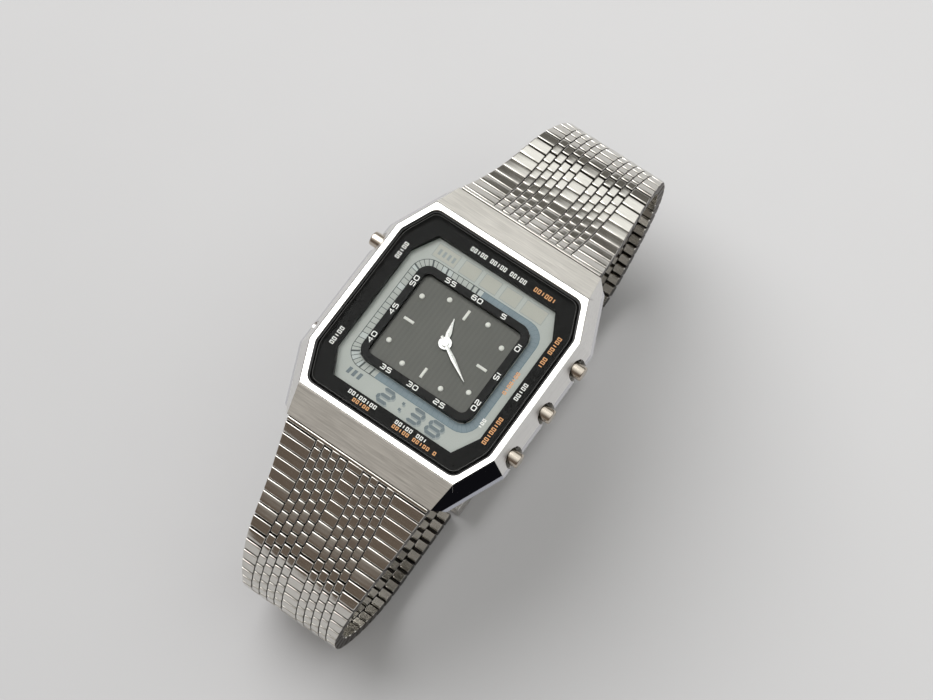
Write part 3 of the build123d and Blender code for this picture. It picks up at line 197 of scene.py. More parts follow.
def clear_glass(name, tint, rough, gloss_share, painted_sheen_share=0.0):
    # Thin clear glass: it lets light straight through and reflects by its angle
    mat, tree = new_material(name)
    through = node(tree, "BsdfTransparent", {"Color": rgb(tint)})
    gloss = node(tree, "BsdfGlossy", {"Color": rgb((1, 1, 1)), "Roughness": rough})
    angle = node(tree, "Fresnel", {"IOR": GLASS_INDEX}).outputs[0]
    beyond = node(tree, "Math", {0: angle, 1: STRAIGHT_ON}, operation="SUBTRACT", use_clamp=True)
    smear = spread(tree, noise(tree, SMEAR_GRAIN), SMEAR_SHARE * gloss_share, gloss_share)
    weight = product(tree, beyond.outputs[0], smear)
    last = node(tree, "MixShader", {0: weight, 1: through.outputs[0], 2: gloss.outputs[0]})
    # The painted sheen: a pale diffuse share over the glass
    if painted_sheen_share:
        painted_sheen = node(tree, "BsdfDiffuse", {"Color": rgb(PAINTED_SHEEN)})
        last = node(tree, "MixShader", {0: painted_sheen_share, 1: last.outputs[0], 2: painted_sheen.outputs[0]})
    show(tree, last)
    return mat


# Metals
hood_steel = steel("hood_steel", (0.86, 0.835, 0.78), 0.5, (0.22, 6, 6), 0.24, 0.07, 0.005,
                   rounding=0.06)
# Painted shade: the 6 o'clock hood's brushed steel, the same as the 12 o'clock hood's but darker
shaded_front_hood_steel = steel("shaded_front_hood_steel", (0.58, 0.555, 0.51), 0.46, (0.22, 6, 6), 0.24, 0.07,
                         0.005, rounding=0.06)
flank_steel = steel("flank_steel", (0.82, 0.81, 0.79), 0.33, (5, 0.2, 5), 0.12, 0.05, 0.002,
                    rounding=0.06)
bezel_steel = polished("bezel_steel", (0.72, 0.715, 0.69), 0.1, rounding=0.05)
mirror_steel = polished("mirror_steel", (0.82, 0.81, 0.79), 0.07, rounding=0.05)
rim_steel = polished("rim_steel", (0.70, 0.70, 0.72), 0.12)
facet_steel = polished("facet_steel", (0.70, 0.69, 0.68), 0.05, lift=(0, 0, 0.65))
link_steel = steel("link_steel", (0.74, 0.72, 0.67), 0.15, (0.5, 6, 6), 0.10, 0.04, 0.0012)
# Painted shade: near-black steel for the links' flank ends and the faces into the gaps between rows
end_shade_steel = steel("end_shade_steel", (0.08, 0.07, 0.062), 0.4, (2, 4, 4), 0.12, 0.06)
# Painted shade: near-black steel for the bracelet's core, seen between the links
core_shade_steel = steel("core_shade_steel", (0.05, 0.045, 0.04), 0.45, (3, 3, 3), 0.2, 0.08)
button_steel = steel("button_steel", (0.63, 0.565, 0.485), 0.22, (1, 4, 4), 0.1, 0.05, 0.001)
# Painted shade: near-black steel for the walls of the button recesses and the bushes in them
recess_shade_steel = steel("recess_shade_steel", (0.055, 0.05, 0.045), 0.4, (3, 3, 3), 0.2, 0.08)
clasp_steel = steel("clasp_steel", (0.70, 0.68, 0.65), 0.3, (6, 0.15, 6), 0.15, 0.05, 0.0025,
                    rounding=0.08)
back_steel = steel("back_steel", (0.68, 0.67, 0.65), 0.3, (0.2, 6, 6), 0.12, 0.05, 0.0025,
                   rounding=0.08)
spring_steel = steel("spring_wire", (0.6, 0.6, 0.6), 0.25, (3, 3, 3), 0.1)
brass = steel("train_brass", (0.72, 0.53, 0.25), 0.28, (4, 4, 4), 0.12, 0.06)
copper = steel("coil_copper", (0.62, 0.25, 0.12), 0.35, (14, 1, 1), 0.35, 0.06)

# Plastics, print and display
board_green = coating("board_green", (0.03, 0.14, 0.06), 0.4, 2, 0.2, 0.06)
resin = coating("dark_resin", (0.03, 0.03, 0.034), 0.5, 2, 0.2, 0.08)
rubber = coating("seal_rubber", (0.012, 0.012, 0.012), 0.5, 3, 0.2, 0.08)
black_print = coating("black_print", (0.006, 0.006, 0.0055), 0.3, 0.5, 0.2, 0.03, specular=0.075)
ring_black = coating("ring_black", (0.006, 0.006, 0.0055), 0.3, 0.5, 0.2, 0.03, rounding=0.1,
                     specular=0.11)
lcd_ground = coating("lcd_ground", (0.50, 0.525, 0.495), 0.5, 12, 0.04, cloud=(0.07, 0.09, 0.1),
                     cloud_dark=0.08, specular=0.3)
lcd_beige = coating("lcd_beige", (0.50, 0.50, 0.445), 0.5, 12, 0.06, specular=0.3)
lcd_line = coating("lcd_line", (0.07, 0.085, 0.085), 0.5, 6, 0.1)
lcd_blue = coating("lcd_blue", (0.20, 0.265, 0.30), 0.45, 5, 0.10, cloud=(0.25, 0.25, 0.25),
                   cloud_dark=0.15)
lcd_blue_line = coating("lcd_blue_line", (0.13, 0.20, 0.24), 0.5, 5, 0.1)
lcd_mark = coating("lcd_mark", (0.15, 0.19, 0.21), 0.5, 5, 0.1)
lcd_shadow = coating("lcd_shadow", (0.33, 0.365, 0.365), 0.5, 5, 0.1)
lcd_tint = coating("lcd_tint", (0.54, 0.58, 0.565), 0.5, 5, 0.05)
white_print = coating("white_print", (0.97, 0.97, 0.94), 0.5, 5, 0.03)
orange_print = coating("orange_print", (0.86, 0.42, 0.16), 0.5, 5, 0.06)
lume = coating("lume", (0.86, 0.86, 0.80), 0.6, 6, 0.05)
hand_white = surface("hand_white", (0.95, 0.95, 0.92), 0.35, 0.3, (3, 3, 3), 0.05)
hub_white = surface("hub_white", (0.96, 0.96, 0.94), 0.35, 0.25, (3, 3, 3), 0.05)

# Glass
crystal_glass = clear_glass("crystal_glass", (0.985, 0.995, 0.99), 0.02, 0.9)
crystal_back = clear_glass("crystal_back", (1.0, 1.0, 1.0), 0.02, 0.0)
# Painted shade: the bevel's glass lets through about a third of the light, so that the crystal's edge
# reads dark
shaded_crystal_edge = clear_glass("shaded_crystal_edge", (0.35, 0.35, 0.35), 0.15, 0.4)
# Painted highlight along the glass's bevel: dimmed glass with a painted sheen
painted_edge_highlight = clear_glass("painted_edge_highlight", (0.7, 0.7, 0.7), 0.2, 0.5, 0.10)

DIAL_GREY = (0.088, 0.088, 0.079)
STRIPE_SCALE = 0.42
STRIPE_DARK = 0.93
STRIPE_SPAN = (0.2, 0.8)
DIAL_CLOUD = (0.1, 0.1, 0.1)
DIAL_CLOUD_DARK = 0.85


def striped_dial():
    # Dark grey with fine stripes, lighter and darker by turns
    mat, tree = new_material("dial_face")
    space = grain_space(tree, (1, 1, 1))
    inputs = {"Vector": space, "Scale": STRIPE_SCALE, "Distortion": 0.0, "Detail": 0.0}
    wave = node(tree, "TexWave", inputs, bands_direction="X")
    stripes = spread(tree, wave.outputs["Fac"], STRIPE_DARK, 1.0, STRIPE_SPAN)
    clouds = spread(tree, noise(tree, DIAL_CLOUD, CLOUD_DETAIL), DIAL_CLOUD_DARK, 1.0)
    color = shade(tree, DIAL_GREY, product(tree, stripes, clouds))
    inputs = {"Base Color": color, "Metallic": 0.35, "Roughness": 0.42, "Specular IOR Level": 0.4}
    show(tree, node(tree, "BsdfPrincipled", inputs))
    return mat


dial_face = striped_dial()


# Meshes
SHARP_ANGLE = 38
BEVEL_STEPS = 2
QUARTER = 90
TURN = 2 * pi


def join(bm, rings, slot):
    # Faces between neighbouring rings of corners
    faces = []
    for low, high in zip(rings, rings[1:]):
        for i in range(len(low)):
            j = (i + 1) % len(low)
            faces.append(bm.faces.new((low[i], low[j], high[j], high[i])))
            faces[-1].material_index = slot
    return faces


def skin(bm, rings, slot=0):
    # A closed body through rings of points with the same number of corners
    made = [[bm.verts.new(p) for p in ring] for ring in rings]
    faces = join(bm, made, slot)
    for cap in (reversed(made[0]), made[-1]):
        faces.append(bm.faces.new(tuple(cap)))
        faces[-1].material_index = slot
    return faces


def level(outline, z):
    return [at(x, y, z) for x, y in outline]


def plate(bm, outline, top, thickness, slot=0):
    # A flat piece seen from above: outline of (x, y), top face at a height
    return skin(bm, [level(outline, top - thickness), level(outline, top)], slot)


def flat_ring(bm, outer, inner, top, thickness, slot=0):
    # A flat ring between two outlines with the same number of corners
    low = top - thickness
    rings = ((inner, low), (inner, top), (outer, top), (outer, low))
    made = [[bm.verts.new(p) for p in level(outline, z)] for outline, z in rings]
    join(bm, made + [made[0]], slot)


def smooth_sides(bm, limit):
    for face in bm.faces:
        face.smooth = True
    for edge in bm.edges:
        edge.smooth = len(edge.link_faces) == 2 and edge.calc_face_angle(0.0) < limit


def finish(name, bm, mats, body, replaced=(), sharp=SHARP_ANGLE, bevel=0.0):
    # The mesh becomes a piece that rides on a body, in place of the CAD nodes it replaces
    bmesh.ops.recalc_face_normals(bm, faces=bm.faces[:])
    limit = radians(sharp)
    smooth_sides(bm, limit)
    mesh = bpy.data.meshes.new(name)
    bm.to_mesh(mesh)
    bm.free()
    for mat in mats:
        mesh.materials.append(mat)
    obj = bpy.data.objects.new(name, mesh)
    bpy.context.scene.collection.objects.link(obj)
    if bevel:
        soft = obj.modifiers.new("edges", "BEVEL")
        soft.width = bevel * MM
        soft.segments = BEVEL_STEPS
        soft.limit_method = "ANGLE"
        soft.angle_limit = limit
        soft.harden_normals = True
    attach(obj, body)
    if replaced:
        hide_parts(*replaced)
    return obj


def round_rect(hx, hy, r, steps, cx, cy):
    out = []
    for sx, sy, start in ((1, 1, 0), (-1, 1, 90), (-1, -1, 180), (1, -1, 270)):
        for i in range(steps + 1):
            a = radians(start + QUARTER * i / steps)
            out.append((cx + sx * (hx - r) + r * cos(a), cy + sy * (hy - r) + r * sin(a)))
    return out


def soften(points, radius, closed=False, steps=4):
    # A path with its corners rounded
    out = []
    count = len(points)
    for i, p in enumerate(points):
        if not closed and i in (0, count - 1):
            out.append(p)
            continue
        a = Vector(points[i - 1])
        b = Vector(p)
        c = Vector(points[(i + 1) % count])
        cut = min(radius, (a - b).length / 2, (c - b).length / 2)
        start = b + (a - b).normalized() * cut
        end = b + (c - b).normalized() * cut
        for k in range(steps + 1):
            t = k / steps
            out.append(tuple(start * (1 - t) ** 2 + b * 2 * t * (1 - t) + end * t ** 2))
    return out


TINY = 1e-9
MITRE_LEAST = 0.5


def ribbon_sides(points, width, closed):
    # The two sides of a line of even width, mitred at its corners
    spots = [Vector(p) for p in points]
    count = len(spots)
    left = []
    right = []
    for i, spot in enumerate(spots):
        before = spots[i - 1] if closed or i > 0 else spot
        after = spots[(i + 1) % count] if closed or i < count - 1 else spot
        d1 = spot - before
        d2 = after - spot
        d1 = d1.normalized() if d1.length > TINY else d2.normalized()
        d2 = d2.normalized() if d2.length > TINY else d1
        mean = (d1 + d2).normalized()
        n = Vector((-mean.y, mean.x))
        reach = width / 2 / max(MITRE_LEAST, n.dot(Vector((-d1.y, d1.x))))
        left.append(spot + n * reach)
        right.append(spot - n * reach)
    return left, right


def ribbon(bm, points, width, top, thickness, place, slot=0, closed=False):
    # A flat line of even width through points; place turns (x, y) into head millimetres
    levels = []
    for side in ribbon_sides(points, width, closed):
        placed = [place(*p) for p in side]
        levels.append([bm.verts.new(p) for p in level(placed, top)])
        levels.append([bm.verts.new(p) for p in level(placed, top - thickness)])
    lt, lb, rt, rb = levels
    count = len(points)
    for i in range(count if closed else count - 1):
        j = (i + 1) % count
        for quad in ((lt[i], lt[j], rt[j], rt[i]), (lb[i], rb[i], rb[j], lb[j]),
                     (lt[i], lb[i], lb[j], lt[j]), (rt[i], rt[j], rb[j], rb[i])):
            bm.faces.new(quad).material_index = slot
    if not closed:
        for i in (0, count - 1):
            bm.faces.new((lt[i], rt[i], rb[i], lb[i])).material_index = slot


def as_drawn(x, y):
    return x, y


def turned(cx, cy, angle):
    # Placing of a small drawing: turned and moved
    c = cos(radians(angle))
    s = sin(radians(angle))
    return lambda x, y: (cx + c * x - s * y, cy + s * x + c * y)


def lathe(bm, profile, place, slot, sides):
    # A turned body: profile of (distance along its axis, radius); place gives the head's x, y, z
    angles = [TURN * k / sides for k in range(sides)]
    rings = [[at(*place(s, r * cos(a), r * sin(a))) for a in angles] for s, r in profile]
    skin(bm, rings, slot)


def lathe_x(bm, profile, y, z, slot, sides):
    lathe(bm, profile, lambda s, u, v: (s, y + u, z + v), slot, sides)


def lathe_z(bm, profile, x, y, slot, sides):
    lathe(bm, profile, lambda s, u, v: (x + u, y + v, s), slot, sides)


def paint(name, mats, choose=None):
    # New finishes on a CAD node; choose names the finish of a face from its middle and normal
    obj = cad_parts[name]
    mesh = obj.data
    mesh.materials.clear()
    for mat in mats:
        mesh.materials.append(mat)
    turn = obj.matrix_world.to_3x3()
    for poly in mesh.polygons:
        middle = (obj.matrix_world @ poly.center) / MM
        normal = (turn @ poly.normal).normalized()
        place = (middle.x, middle.y - HEAD_Y, middle.z - HEAD_Z)
        poly.material_index = mats.index(choose(*place, normal)) if choose else 0


# Finishes of the head's CAD nodes
HOOD_FROM_Y = 17.6
HOOD_TILT = 0.8
RIM_LOW = -4.3
RIM_HIGH = -3.5
RIM_TILT = (0.55, 0.68)
RIM_EDGE_TILT = 0.02
RIM_FROM = 18.4
FACET_SIDE = 0.2
FACET_TILT = (0.3, 0.5)
FACET_FROM_X = 12.5
FACET_TO_Y = -16.5
FACET_FROM_Z = -2.5
RECESS_TILT = 0.3
RECESS_X = (13.0, 18.05)
RECESS_TO_Y = 12.0


def is_rim(x, y, z, n):
    tilted = RIM_TILT[0] < n.z < RIM_TILT[1] or abs(n.z) < RIM_EDGE_TILT
    return tilted and RIM_LOW < z < RIM_HIGH and hypot(x, y) > RIM_FROM


def is_dark_facet(x, y, z, n):
    # The facet at 5 o'clock and the small faces round it
    if n.x > FACET_SIDE and n.y < -FACET_SIDE and FACET_TILT[0] < n.z < FACET_TILT[1]:
        return True
    return x > FACET_FROM_X and y < FACET_TO_Y and z > FACET_FROM_Z and n.z < HOOD_TILT


def is_recess(x, y, n):
    return abs(n.z) < RECESS_TILT and RECESS_X[0] < abs(x) < RECESS_X[1] and abs(y) < RECESS_TO_Y


def case_finish(x, y, z, n):
    if abs(y) > HOOD_FROM_Y and n.z > HOOD_TILT:
        # The 6 o'clock hood takes the steel with painted shade
        return hood_steel if y > 0 else shaded_front_hood_steel
    if is_rim(x, y, z, n):
        return rim_steel
    if is_dark_facet(x, y, z, n):
        return facet_steel
    # Recess walls take the steel with painted shade
    return recess_shade_steel if is_recess(x, y, n) else flank_steel


BEZEL_TOP_TILT = 0.97
BEZEL_SLOPE_TILT = 0.5
BEZEL_FACET_TILT = 0.1
BEZEL_FACET_TO_Z = -0.15


def bezel_finish(x, y, z, n):
    if n.z > BEZEL_TOP_TILT:
        return bezel_steel
    if n.x > FACET_SIDE and n.y < -FACET_SIDE and z < BEZEL_FACET_TO_Z and n.z > BEZEL_FACET_TILT:
        return facet_steel
    return bezel_steel if n.z > BEZEL_SLOPE_TILT else flank_steel


GLASS_FLAT_TILT = 0.95


def glass_finish(x, y, z, n):
    if n.z > GLASS_FLAT_TILT:
        return crystal_glass
    return crystal_back if n.z < -GLASS_FLAT_TILT else shaded_crystal_edge


PLAIN_FINISHES = (
    (rubber, ("crystal_gasket", "case_back_gasket", "elastomer_connectors")),
    (black_print, ("display_frame",)),
    (lcd_ground, ("lcd_panel",)),
    (ring_black, ("minute_ring",)),
    (dial_face, ("dial",)),
    (back_steel, ("case_back",)),
    (recess_shade_steel, ("pusher_bushes",)),
    (mirror_steel, ("case_back_screws", "case_spring_bars", "rotor", "stator", "quartz_can", "battery")),
    (brass, ("main_plate", "train_bridge", "centre_wheel", "intermediate_wheel", "minute_wheel",
             "hour_wheel")),
    (spring_steel, ("battery_clamp",)),
    (copper, ("coil",)),
    (board_green, ("circuit_board",)),
    (resin, ("module_frame",)),
    (clasp_steel, ("clasp_cover", "clasp_middle_blade", "clasp_inner_blade")),
    (mirror_steel, ("clasp_cover_pin", "clasp_blade_pin", "clasp_end_pin", "clasp_spring_bar")),
)

CASE_FINISHES = [hood_steel, flank_steel, rim_steel, facet_steel, recess_shade_steel, shaded_front_hood_steel]
paint("case_body", CASE_FINISHES, case_finish)
paint("bezel", [flank_steel, bezel_steel, facet_steel], bezel_finish)
paint("crystal", [crystal_glass, shaded_crystal_edge, crystal_back], glass_finish)
for mat, names in PLAIN_FINISHES:
    for name in names:
        paint(name, [mat])

# Painted highlight: a pale line where the glass's bevel meets its flat face
HEAD_HALF_X = 17.0
HEAD_HALF_Y = 17.82
HEAD_EDGE_X = 14.12
HEAD_EDGE_Y = 11.23
LINE_OUTER = (1.58, 1.1)
LINE_INNER = (1.66, 1.06)
LINE_STEPS = 6
LINE_TOP = -0.045
FILM = 0.006


def head_ring(inset):
    # The head's octagon, moved in by a distance
    slant = hypot(HEAD_HALF_X - HEAD_EDGE_X, HEAD_HALF_Y - HEAD_EDGE_Y)
    nx = (HEAD_HALF_Y - HEAD_EDGE_Y) / slant
    ny = (HEAD_HALF_X - HEAD_EDGE_X) / slant
    reach = nx * HEAD_HALF_X + ny * HEAD_EDGE_Y - inset
    half_x = HEAD_HALF_X - inset
    half_y = HEAD_HALF_Y - inset
    edge_x = (reach - ny * half_y) / nx
    edge_y = (reach - nx * half_x) / ny
    points = [(edge_x, half_y), (half_x, edge_y), (half_x, -edge_y), (edge_x, -half_y)]
    return points + [(-x, -y) for x, y in points]


def painted_glass_highlight():
    bm = bmesh.new()
    outer, inner = [soften(head_ring(inset), radius, True, LINE_STEPS)
                    for inset, radius in (LINE_OUTER, LINE_INNER)]
    flat_ring(bm, outer, inner, LINE_TOP, FILM)
    finish("painted_glass_highlight", bm, [painted_edge_highlight], "case")


painted_glass_highlight()


# Numbers on the minute ring: strokes in a unit box, and whether they close
STROKES = {
    "0": ([(0, 0), (1, 0), (1, 1), (0, 1)], True),
    "1": ([(0.5, 0), (0.5, 1)], False),
    "2": ([(0, 1), (1, 1), (1, 0.53), (0, 0.47), (0, 0), (1.02, 0)], False),
    "3": ([(0, 1), (1, 1), (1, 0.5), (1, 0), (0, 0)], False),
    "4": ([(0.78, 0), (0.78, 1), (0, 0.3), (1.05, 0.3)], False),
    "5": ([(1, 1), (0, 1), (0, 0.56), (1, 0.56), (1, 0), (0, 0)], False),
    "6": ([(1, 1), (0, 1), (0, 0), (1, 0), (1, 0.56), (0, 0.56)], False),
}
THREE_BAR = (0.35, 1.0)
THREE_BAR_THIN = 0.95
NUMBER_WIDE = 0.88
NUMBER_TALL = 0.85
NUMBER_STROKE = 0.165
NUMBER_GAP = 0.17
NUMBER_CORNER = 0.2
INK = 0.012
NUMBER_TOP = -0.938
ROW_Y = 8.42
COLUMN_X = 9.58
STEP_X = 4.9
STEP_Y = 5.5
RING_NUMBERS = (
    ("60", 0.0, ROW_Y, 0), ("5", STEP_X, ROW_Y, 0),
    ("55", -STEP_X, ROW_Y, 0), ("10", COLUMN_X, STEP_Y, -90),
    ("15", COLUMN_X, 0.0, -90), ("20", COLUMN_X, -STEP_Y, -90),
    ("25", STEP_X, -ROW_Y, 0), ("30", 0.0, -ROW_Y, 0),
    ("35", -STEP_X, -ROW_Y, 0), ("40", -COLUMN_X, -STEP_Y, 90),
    ("45", -COLUMN_X, 0.0, 90), ("50", -COLUMN_X, STEP_Y, 90),
)


def number(bm, text, cx, cy, angle):
    widths = [0.0 if c == "1" else NUMBER_WIDE - NUMBER_STROKE for c in text]
    total = sum(w + NUMBER_STROKE for w in widths) + NUMBER_GAP * (len(text) - 1)
    x = -total / 2
    place = turned(cx, cy, angle)
    for c, w in zip(text, widths):
        points, closed = STROKES[c]
        left = x + NUMBER_STROKE / 2
        centre = 0.5 if c == "1" else 0
        tall = NUMBER_TALL - NUMBER_STROKE
        drawn = [(left + (px - centre) * w, (py - 0.5) * tall) for px, py in points]
        # The corners of a 4 stay sharp
        path = drawn if c == "4" else soften(drawn, NUMBER_CORNER, closed)
        ribbon(bm, path, NUMBER_STROKE, NUMBER_TOP, INK, place, 0, closed)
        if c == "3":
            bar = [(left + share * w, 0) for share in THREE_BAR]
            ribbon(bm, bar, NUMBER_STROKE * THREE_BAR_THIN, NUMBER_TOP, INK, place)
        x += w + NUMBER_STROKE + NUMBER_GAP


def minute_numbers():
    bm = bmesh.new()
    for row in RING_NUMBERS:
        number(bm, *row)
    finish("minute_numbers", bm, [white_print], "case")


minute_numbers()


# Hour marks: four bars and eight dots of lume
DIAL_LEVEL = -1.76
MARK_SHOULDER = -1.66
BAR_TOP = -1.6
BAR_HALF_LONG = 0.9
BAR_HALF_THIN = 0.23
BAR_CORNER = 0.05
BAR_STEPS = 2
BAR_TOP_INSET = 0.06
BAR_TOP_CORNER = 0.03
BAR_Y = 5.6
BAR_X = 6.75
DOT_PROFILE = ((DIAL_LEVEL, 0.415), (MARK_SHOULDER, 0.415), (-1.58, 0.33), (-1.54, 0.15))
DOT_SIDES = 28
DOTS = ((3.56, 6.19), (7.38, 4.29))


def dial_bar(bm, x, y, hx, hy):
    outline = round_rect(hx, hy, BAR_CORNER, BAR_STEPS, x, y)
    inset = BAR_TOP_INSET
    inner = round_rect(hx - inset, hy - inset, BAR_TOP_CORNER, BAR_STEPS, x, y)
    rings = [level(outline, DIAL_LEVEL), level(outline, MARK_SHOULDER), level(inner, BAR_TOP)]
    skin(bm, rings)


def dial_marks():
    bm = bmesh.new()
    for sign in (1, -1):
        dial_bar(bm, 0, sign * BAR_Y, BAR_HALF_THIN, BAR_HALF_LONG)
    for sign in (1, -1):
        dial_bar(bm, sign * BAR_X, 0, BAR_HALF_LONG, BAR_HALF_THIN)
    for sx in (1, -1):
        for sy in (1, -1):
            for x, y in DOTS:
                lathe_z(bm, DOT_PROFILE, sx * x, sy * y, 0, DOT_SIDES)
    finish("dial_marks", bm, [lume], "case")


dial_marks()


# Hands: a lance and a hub; angles are clockwise from 12 o'clock, as the photograph shows them
HOUR_ANGLE = 344.3
MINUTE_ANGLE = 120.4
SHOULDER_SHARE = 0.42
TIP_HALF_WIDTH = 0.05
HAND_SHARP_ANGLE = 20
HOUR_HUB = ((-1.47, 1.05), (-1.36, 1.05), (-1.31, 0.98), (-1.31, 0.55))
MINUTE_HUB = ((-1.3, 0.6), (-0.98, 0.6), (-0.94, 0.54), (-0.93, 0.3), (-0.91, 0.26), (-0.9, 0.1))


def lance(bm, angle, length, half_width, neck, tail, low, high):
    # A pointed hand with a ridge down its middle
    place = turned(0, 0, -angle)
    shoulder = length * SHOULDER_SHARE
    left = [(-neck, -tail), (-neck, 0.0), (-half_width, shoulder), (-TIP_HALF_WIDTH, length)]
    ridge = [(0, -tail), (0, 0.0), (0, shoulder), (0, length)]
    right = [(-x, y) for x, y in left]
    edge = (low + high) / 2
    rows = []
    for line, z in ((left, low), (left, edge), (ridge, high), (right, edge), (right, low)):
        rows.append([bm.verts.new(at(*place(*p), z)) for p in line])
    last = len(left) - 1
    for a, b in zip(rows, rows[1:] + rows[:1]):
        for i in range(last):
            bm.faces.new((a[i], a[i + 1], b[i + 1], b[i]))
    for i in (0, last):
        bm.faces.new([row[i] for row in rows])


def hand(name, hub, sides, **sizes):
    bm = bmesh.new()
    lance(bm, **sizes)
    lathe_z(bm, hub, 0, 0, 1, sides)
    finish(name + "_lance", bm, [hand_white, hub_white], name + "_body", (name,),
                 sharp=HAND_SHARP_ANGLE)


hand("hour_hand", HOUR_HUB, sides=48, angle=HOUR_ANGLE, length=4.15, half_width=0.42, neck=0.26,
     tail=1.0, low=-1.47, high=-1.3)
hand("minute_hand", MINUTE_HUB, sides=40, angle=MINUTE_ANGLE, length=6.9, half_width=0.34, neck=0.2,
     tail=1.2, low=-1.12, high=-0.98)


# Liquid crystal display: slots of its materials, its level, and the thickness of a segment
LINE, BEIGE, MARK, BLUE, BLUE_LINE, TINT, SHADOW = range(7)
LCD_FINISHES = [lcd_line, lcd_beige, lcd_mark, lcd_blue, lcd_blue_line, lcd_tint, lcd_shadow]
LCD = -1.99
SEGMENT = 0.004
MARK_RISE = 0.012

WINDOWS = ((-10.25, -6.1), (-5.3, -2.15), (-1.5, 1.6), (2.3, 5.4), (6.1, 10.1))
WINDOW_Y = (10.7, 13.1)
WINDOW_LINE = 0.08
WINDOW_LINE_RISE = 0.004


def rectangle(x0, x1, y0, y1):
    return [(x0, y0), (x1, y0), (x1, y1), (x0, y1)]


def windows(bm):
    # Plain fields along the top of the display
    low, high = WINDOW_Y
    for x0, x1 in WINDOWS:
        outer = rectangle(x0, x1, low, high)
        inner = rectangle(x0 + WINDOW_LINE, x1 - WINDOW_LINE, low + WINDOW_LINE, high - WINDOW_LINE)
        plate(bm, outer, LCD, FILM, BEIGE)
        flat_ring(bm, outer, inner, LCD + WINDOW_LINE_RISE, FILM, SHADOW)


# Track of the running minutes, as half lengths and corner radius of its outer and inner edge
OUTER_X, OUTER_Y, OUTER_R = 11.6, 10.35, 3.0
INNER_X, INNER_Y, INNER_R = 10.3, 9.1, 2.0
TOP_BOXES = 9
SIDE_BOXES = 15
CORNER_BOXES = 6
CORNER_STEP = 15
FILLED_PAST_HALF = 6
TINTED_SHARE = 0.3
TRACK_LINES = (0.1, 0.1, 0.1, 0.28)
FILLED_LINE = 0.06
TRACK_EDGE = 0.11
TRACK_RISE = 0.002
TRACK_LINE_RISE = 0.008
TRACK_EDGE_RISE = 0.009


def corner_stations(start, side):
    # Inner and outer points round a corner at the right, side 1 above and -1 below
    ix, iy = INNER_X - INNER_R, INNER_Y - INNER_R
    sx, sy = OUTER_X - OUTER_R, OUTER_Y - OUTER_R
    pairs = []
    for i in range(CORNER_BOXES):
        a = radians(start - CORNER_STEP * i)
        inner = (ix + INNER_R * cos(a), side * iy + INNER_R * sin(a))
        outer = (sx + OUTER_R * cos(a), side * sy + OUTER_R * sin(a))
        pairs.append((inner, outer))
    return pairs


def track_stations():
    # Pairs of inner and outer points round the track, clockwise from the top's middle
    ix, iy = INNER_X - INNER_R, INNER_Y - INNER_R
    sx, sy = OUTER_X - OUTER_R, OUTER_Y - OUTER_R
    pairs = []
    for i in range(TOP_BOXES):
        pairs.append(((ix * i / TOP_BOXES, INNER_Y), (sx * i / TOP_BOXES, OUTER_Y)))
    pairs += corner_stations(QUARTER, 1)
    for i in range(SIDE_BOXES):
        y = 1 - 2 * i / SIDE_BOXES
        pairs.append(((INNER_X, iy * y), (OUTER_X, sy * y)))
    pairs += corner_stations(0, -1)
    for i in range(TOP_BOXES):
        x = 1 - i / TOP_BOXES
        pairs.append(((ix * x, -INNER_Y), (sx * x, -OUTER_Y)))
    return pairs + [((-ax, -ay), (-bx, -by)) for (ax, ay), (bx, by) in pairs]


def track(bm):
    # Filled from the top's middle to the lower left, and empty boxes after that
    stations = track_stations()
    total = len(stations)
    filled = total // 2 + FILLED_PAST_HALF
    for i in range(total):
        a, b = stations[i], stations[(i + 1) % total]
        box = [a[0], a[1], b[1], b[0]]
        if i < filled:
            plate(bm, box, LCD + TRACK_RISE, SEGMENT, BLUE)
        elif random.random() < TINTED_SHARE:
            plate(bm, box, LCD + TRACK_RISE, SEGMENT, TINT)
        width = random.choice(TRACK_LINES) if i > filled else FILLED_LINE
        slot = LINE if i > filled else BLUE_LINE
        ribbon(bm, a, width, LCD + TRACK_LINE_RISE, SEGMENT, as_drawn, slot)
    for first, last, slot in ((filled, total, LINE), (0, filled, BLUE_LINE)):
        path = [stations[i % total][1] for i in range(first, last + 1)]
        ribbon(bm, path, TRACK_EDGE, LCD + TRACK_EDGE_RISE, SEGMENT, as_drawn, slot)


# The time in seven-bar numbers, each with its shadow on the ground below
BARS = {
    "a": ((0, 1), (1, 1)), "b": ((1, 1), (1, 0.5)), "c": ((1, 0.5), (1, 0)), "d": ((0, 0), (1, 0)),
    "e": ((0, 0.5), (0, 0)), "f": ((0, 1), (0, 0.5)), "g": ((0, 0.5), (1, 0.5)),
}
SHOWN = {"2": "abged", "3": "abgcd", "8": "abcdefg"}
TIME = (("2", -3.95, -1.45), ("3", 1.6, 4.1), ("8", 4.95, 7.6))
TIME_Y = (-13.1, -10.5)
BAR_WIDTH = 0.54
BAR_END_GAP = 0.03
SLANT = 0.10
COLON_X = (0.1, 0.55)
COLON_Y = (-11.2, -12.3)
COLON_HALF = 0.22
SHADOW_SHIFT = (0.22, -0.26)


def bar_digit(bm, digit, x0, x1, top, slot, shift):
    y0, y1 = TIME_Y
    inset = BAR_WIDTH / 2
    for key in SHOWN[digit]:
        a, b = [Vector((x0 + inset + x * (x1 - x0 - BAR_WIDTH), y0 + inset + y * (y1 - y0 - BAR_WIDTH)))
                for x, y in BARS[key]]
        along = (b - a).normalized()
        cross = Vector((-along.y, along.x)) * BAR_WIDTH / 2
        a += along * BAR_END_GAP
        b -= along * BAR_END_GAP
        point = along * BAR_WIDTH / 2
        corners = [a, a + point + cross, b - point + cross, b, b - point - cross, a + point - cross]
        outline = [(p.x + shift[0] + SLANT * (p.y - y0), p.y + shift[1]) for p in corners]
        plate(bm, outline, top, SEGMENT, slot)


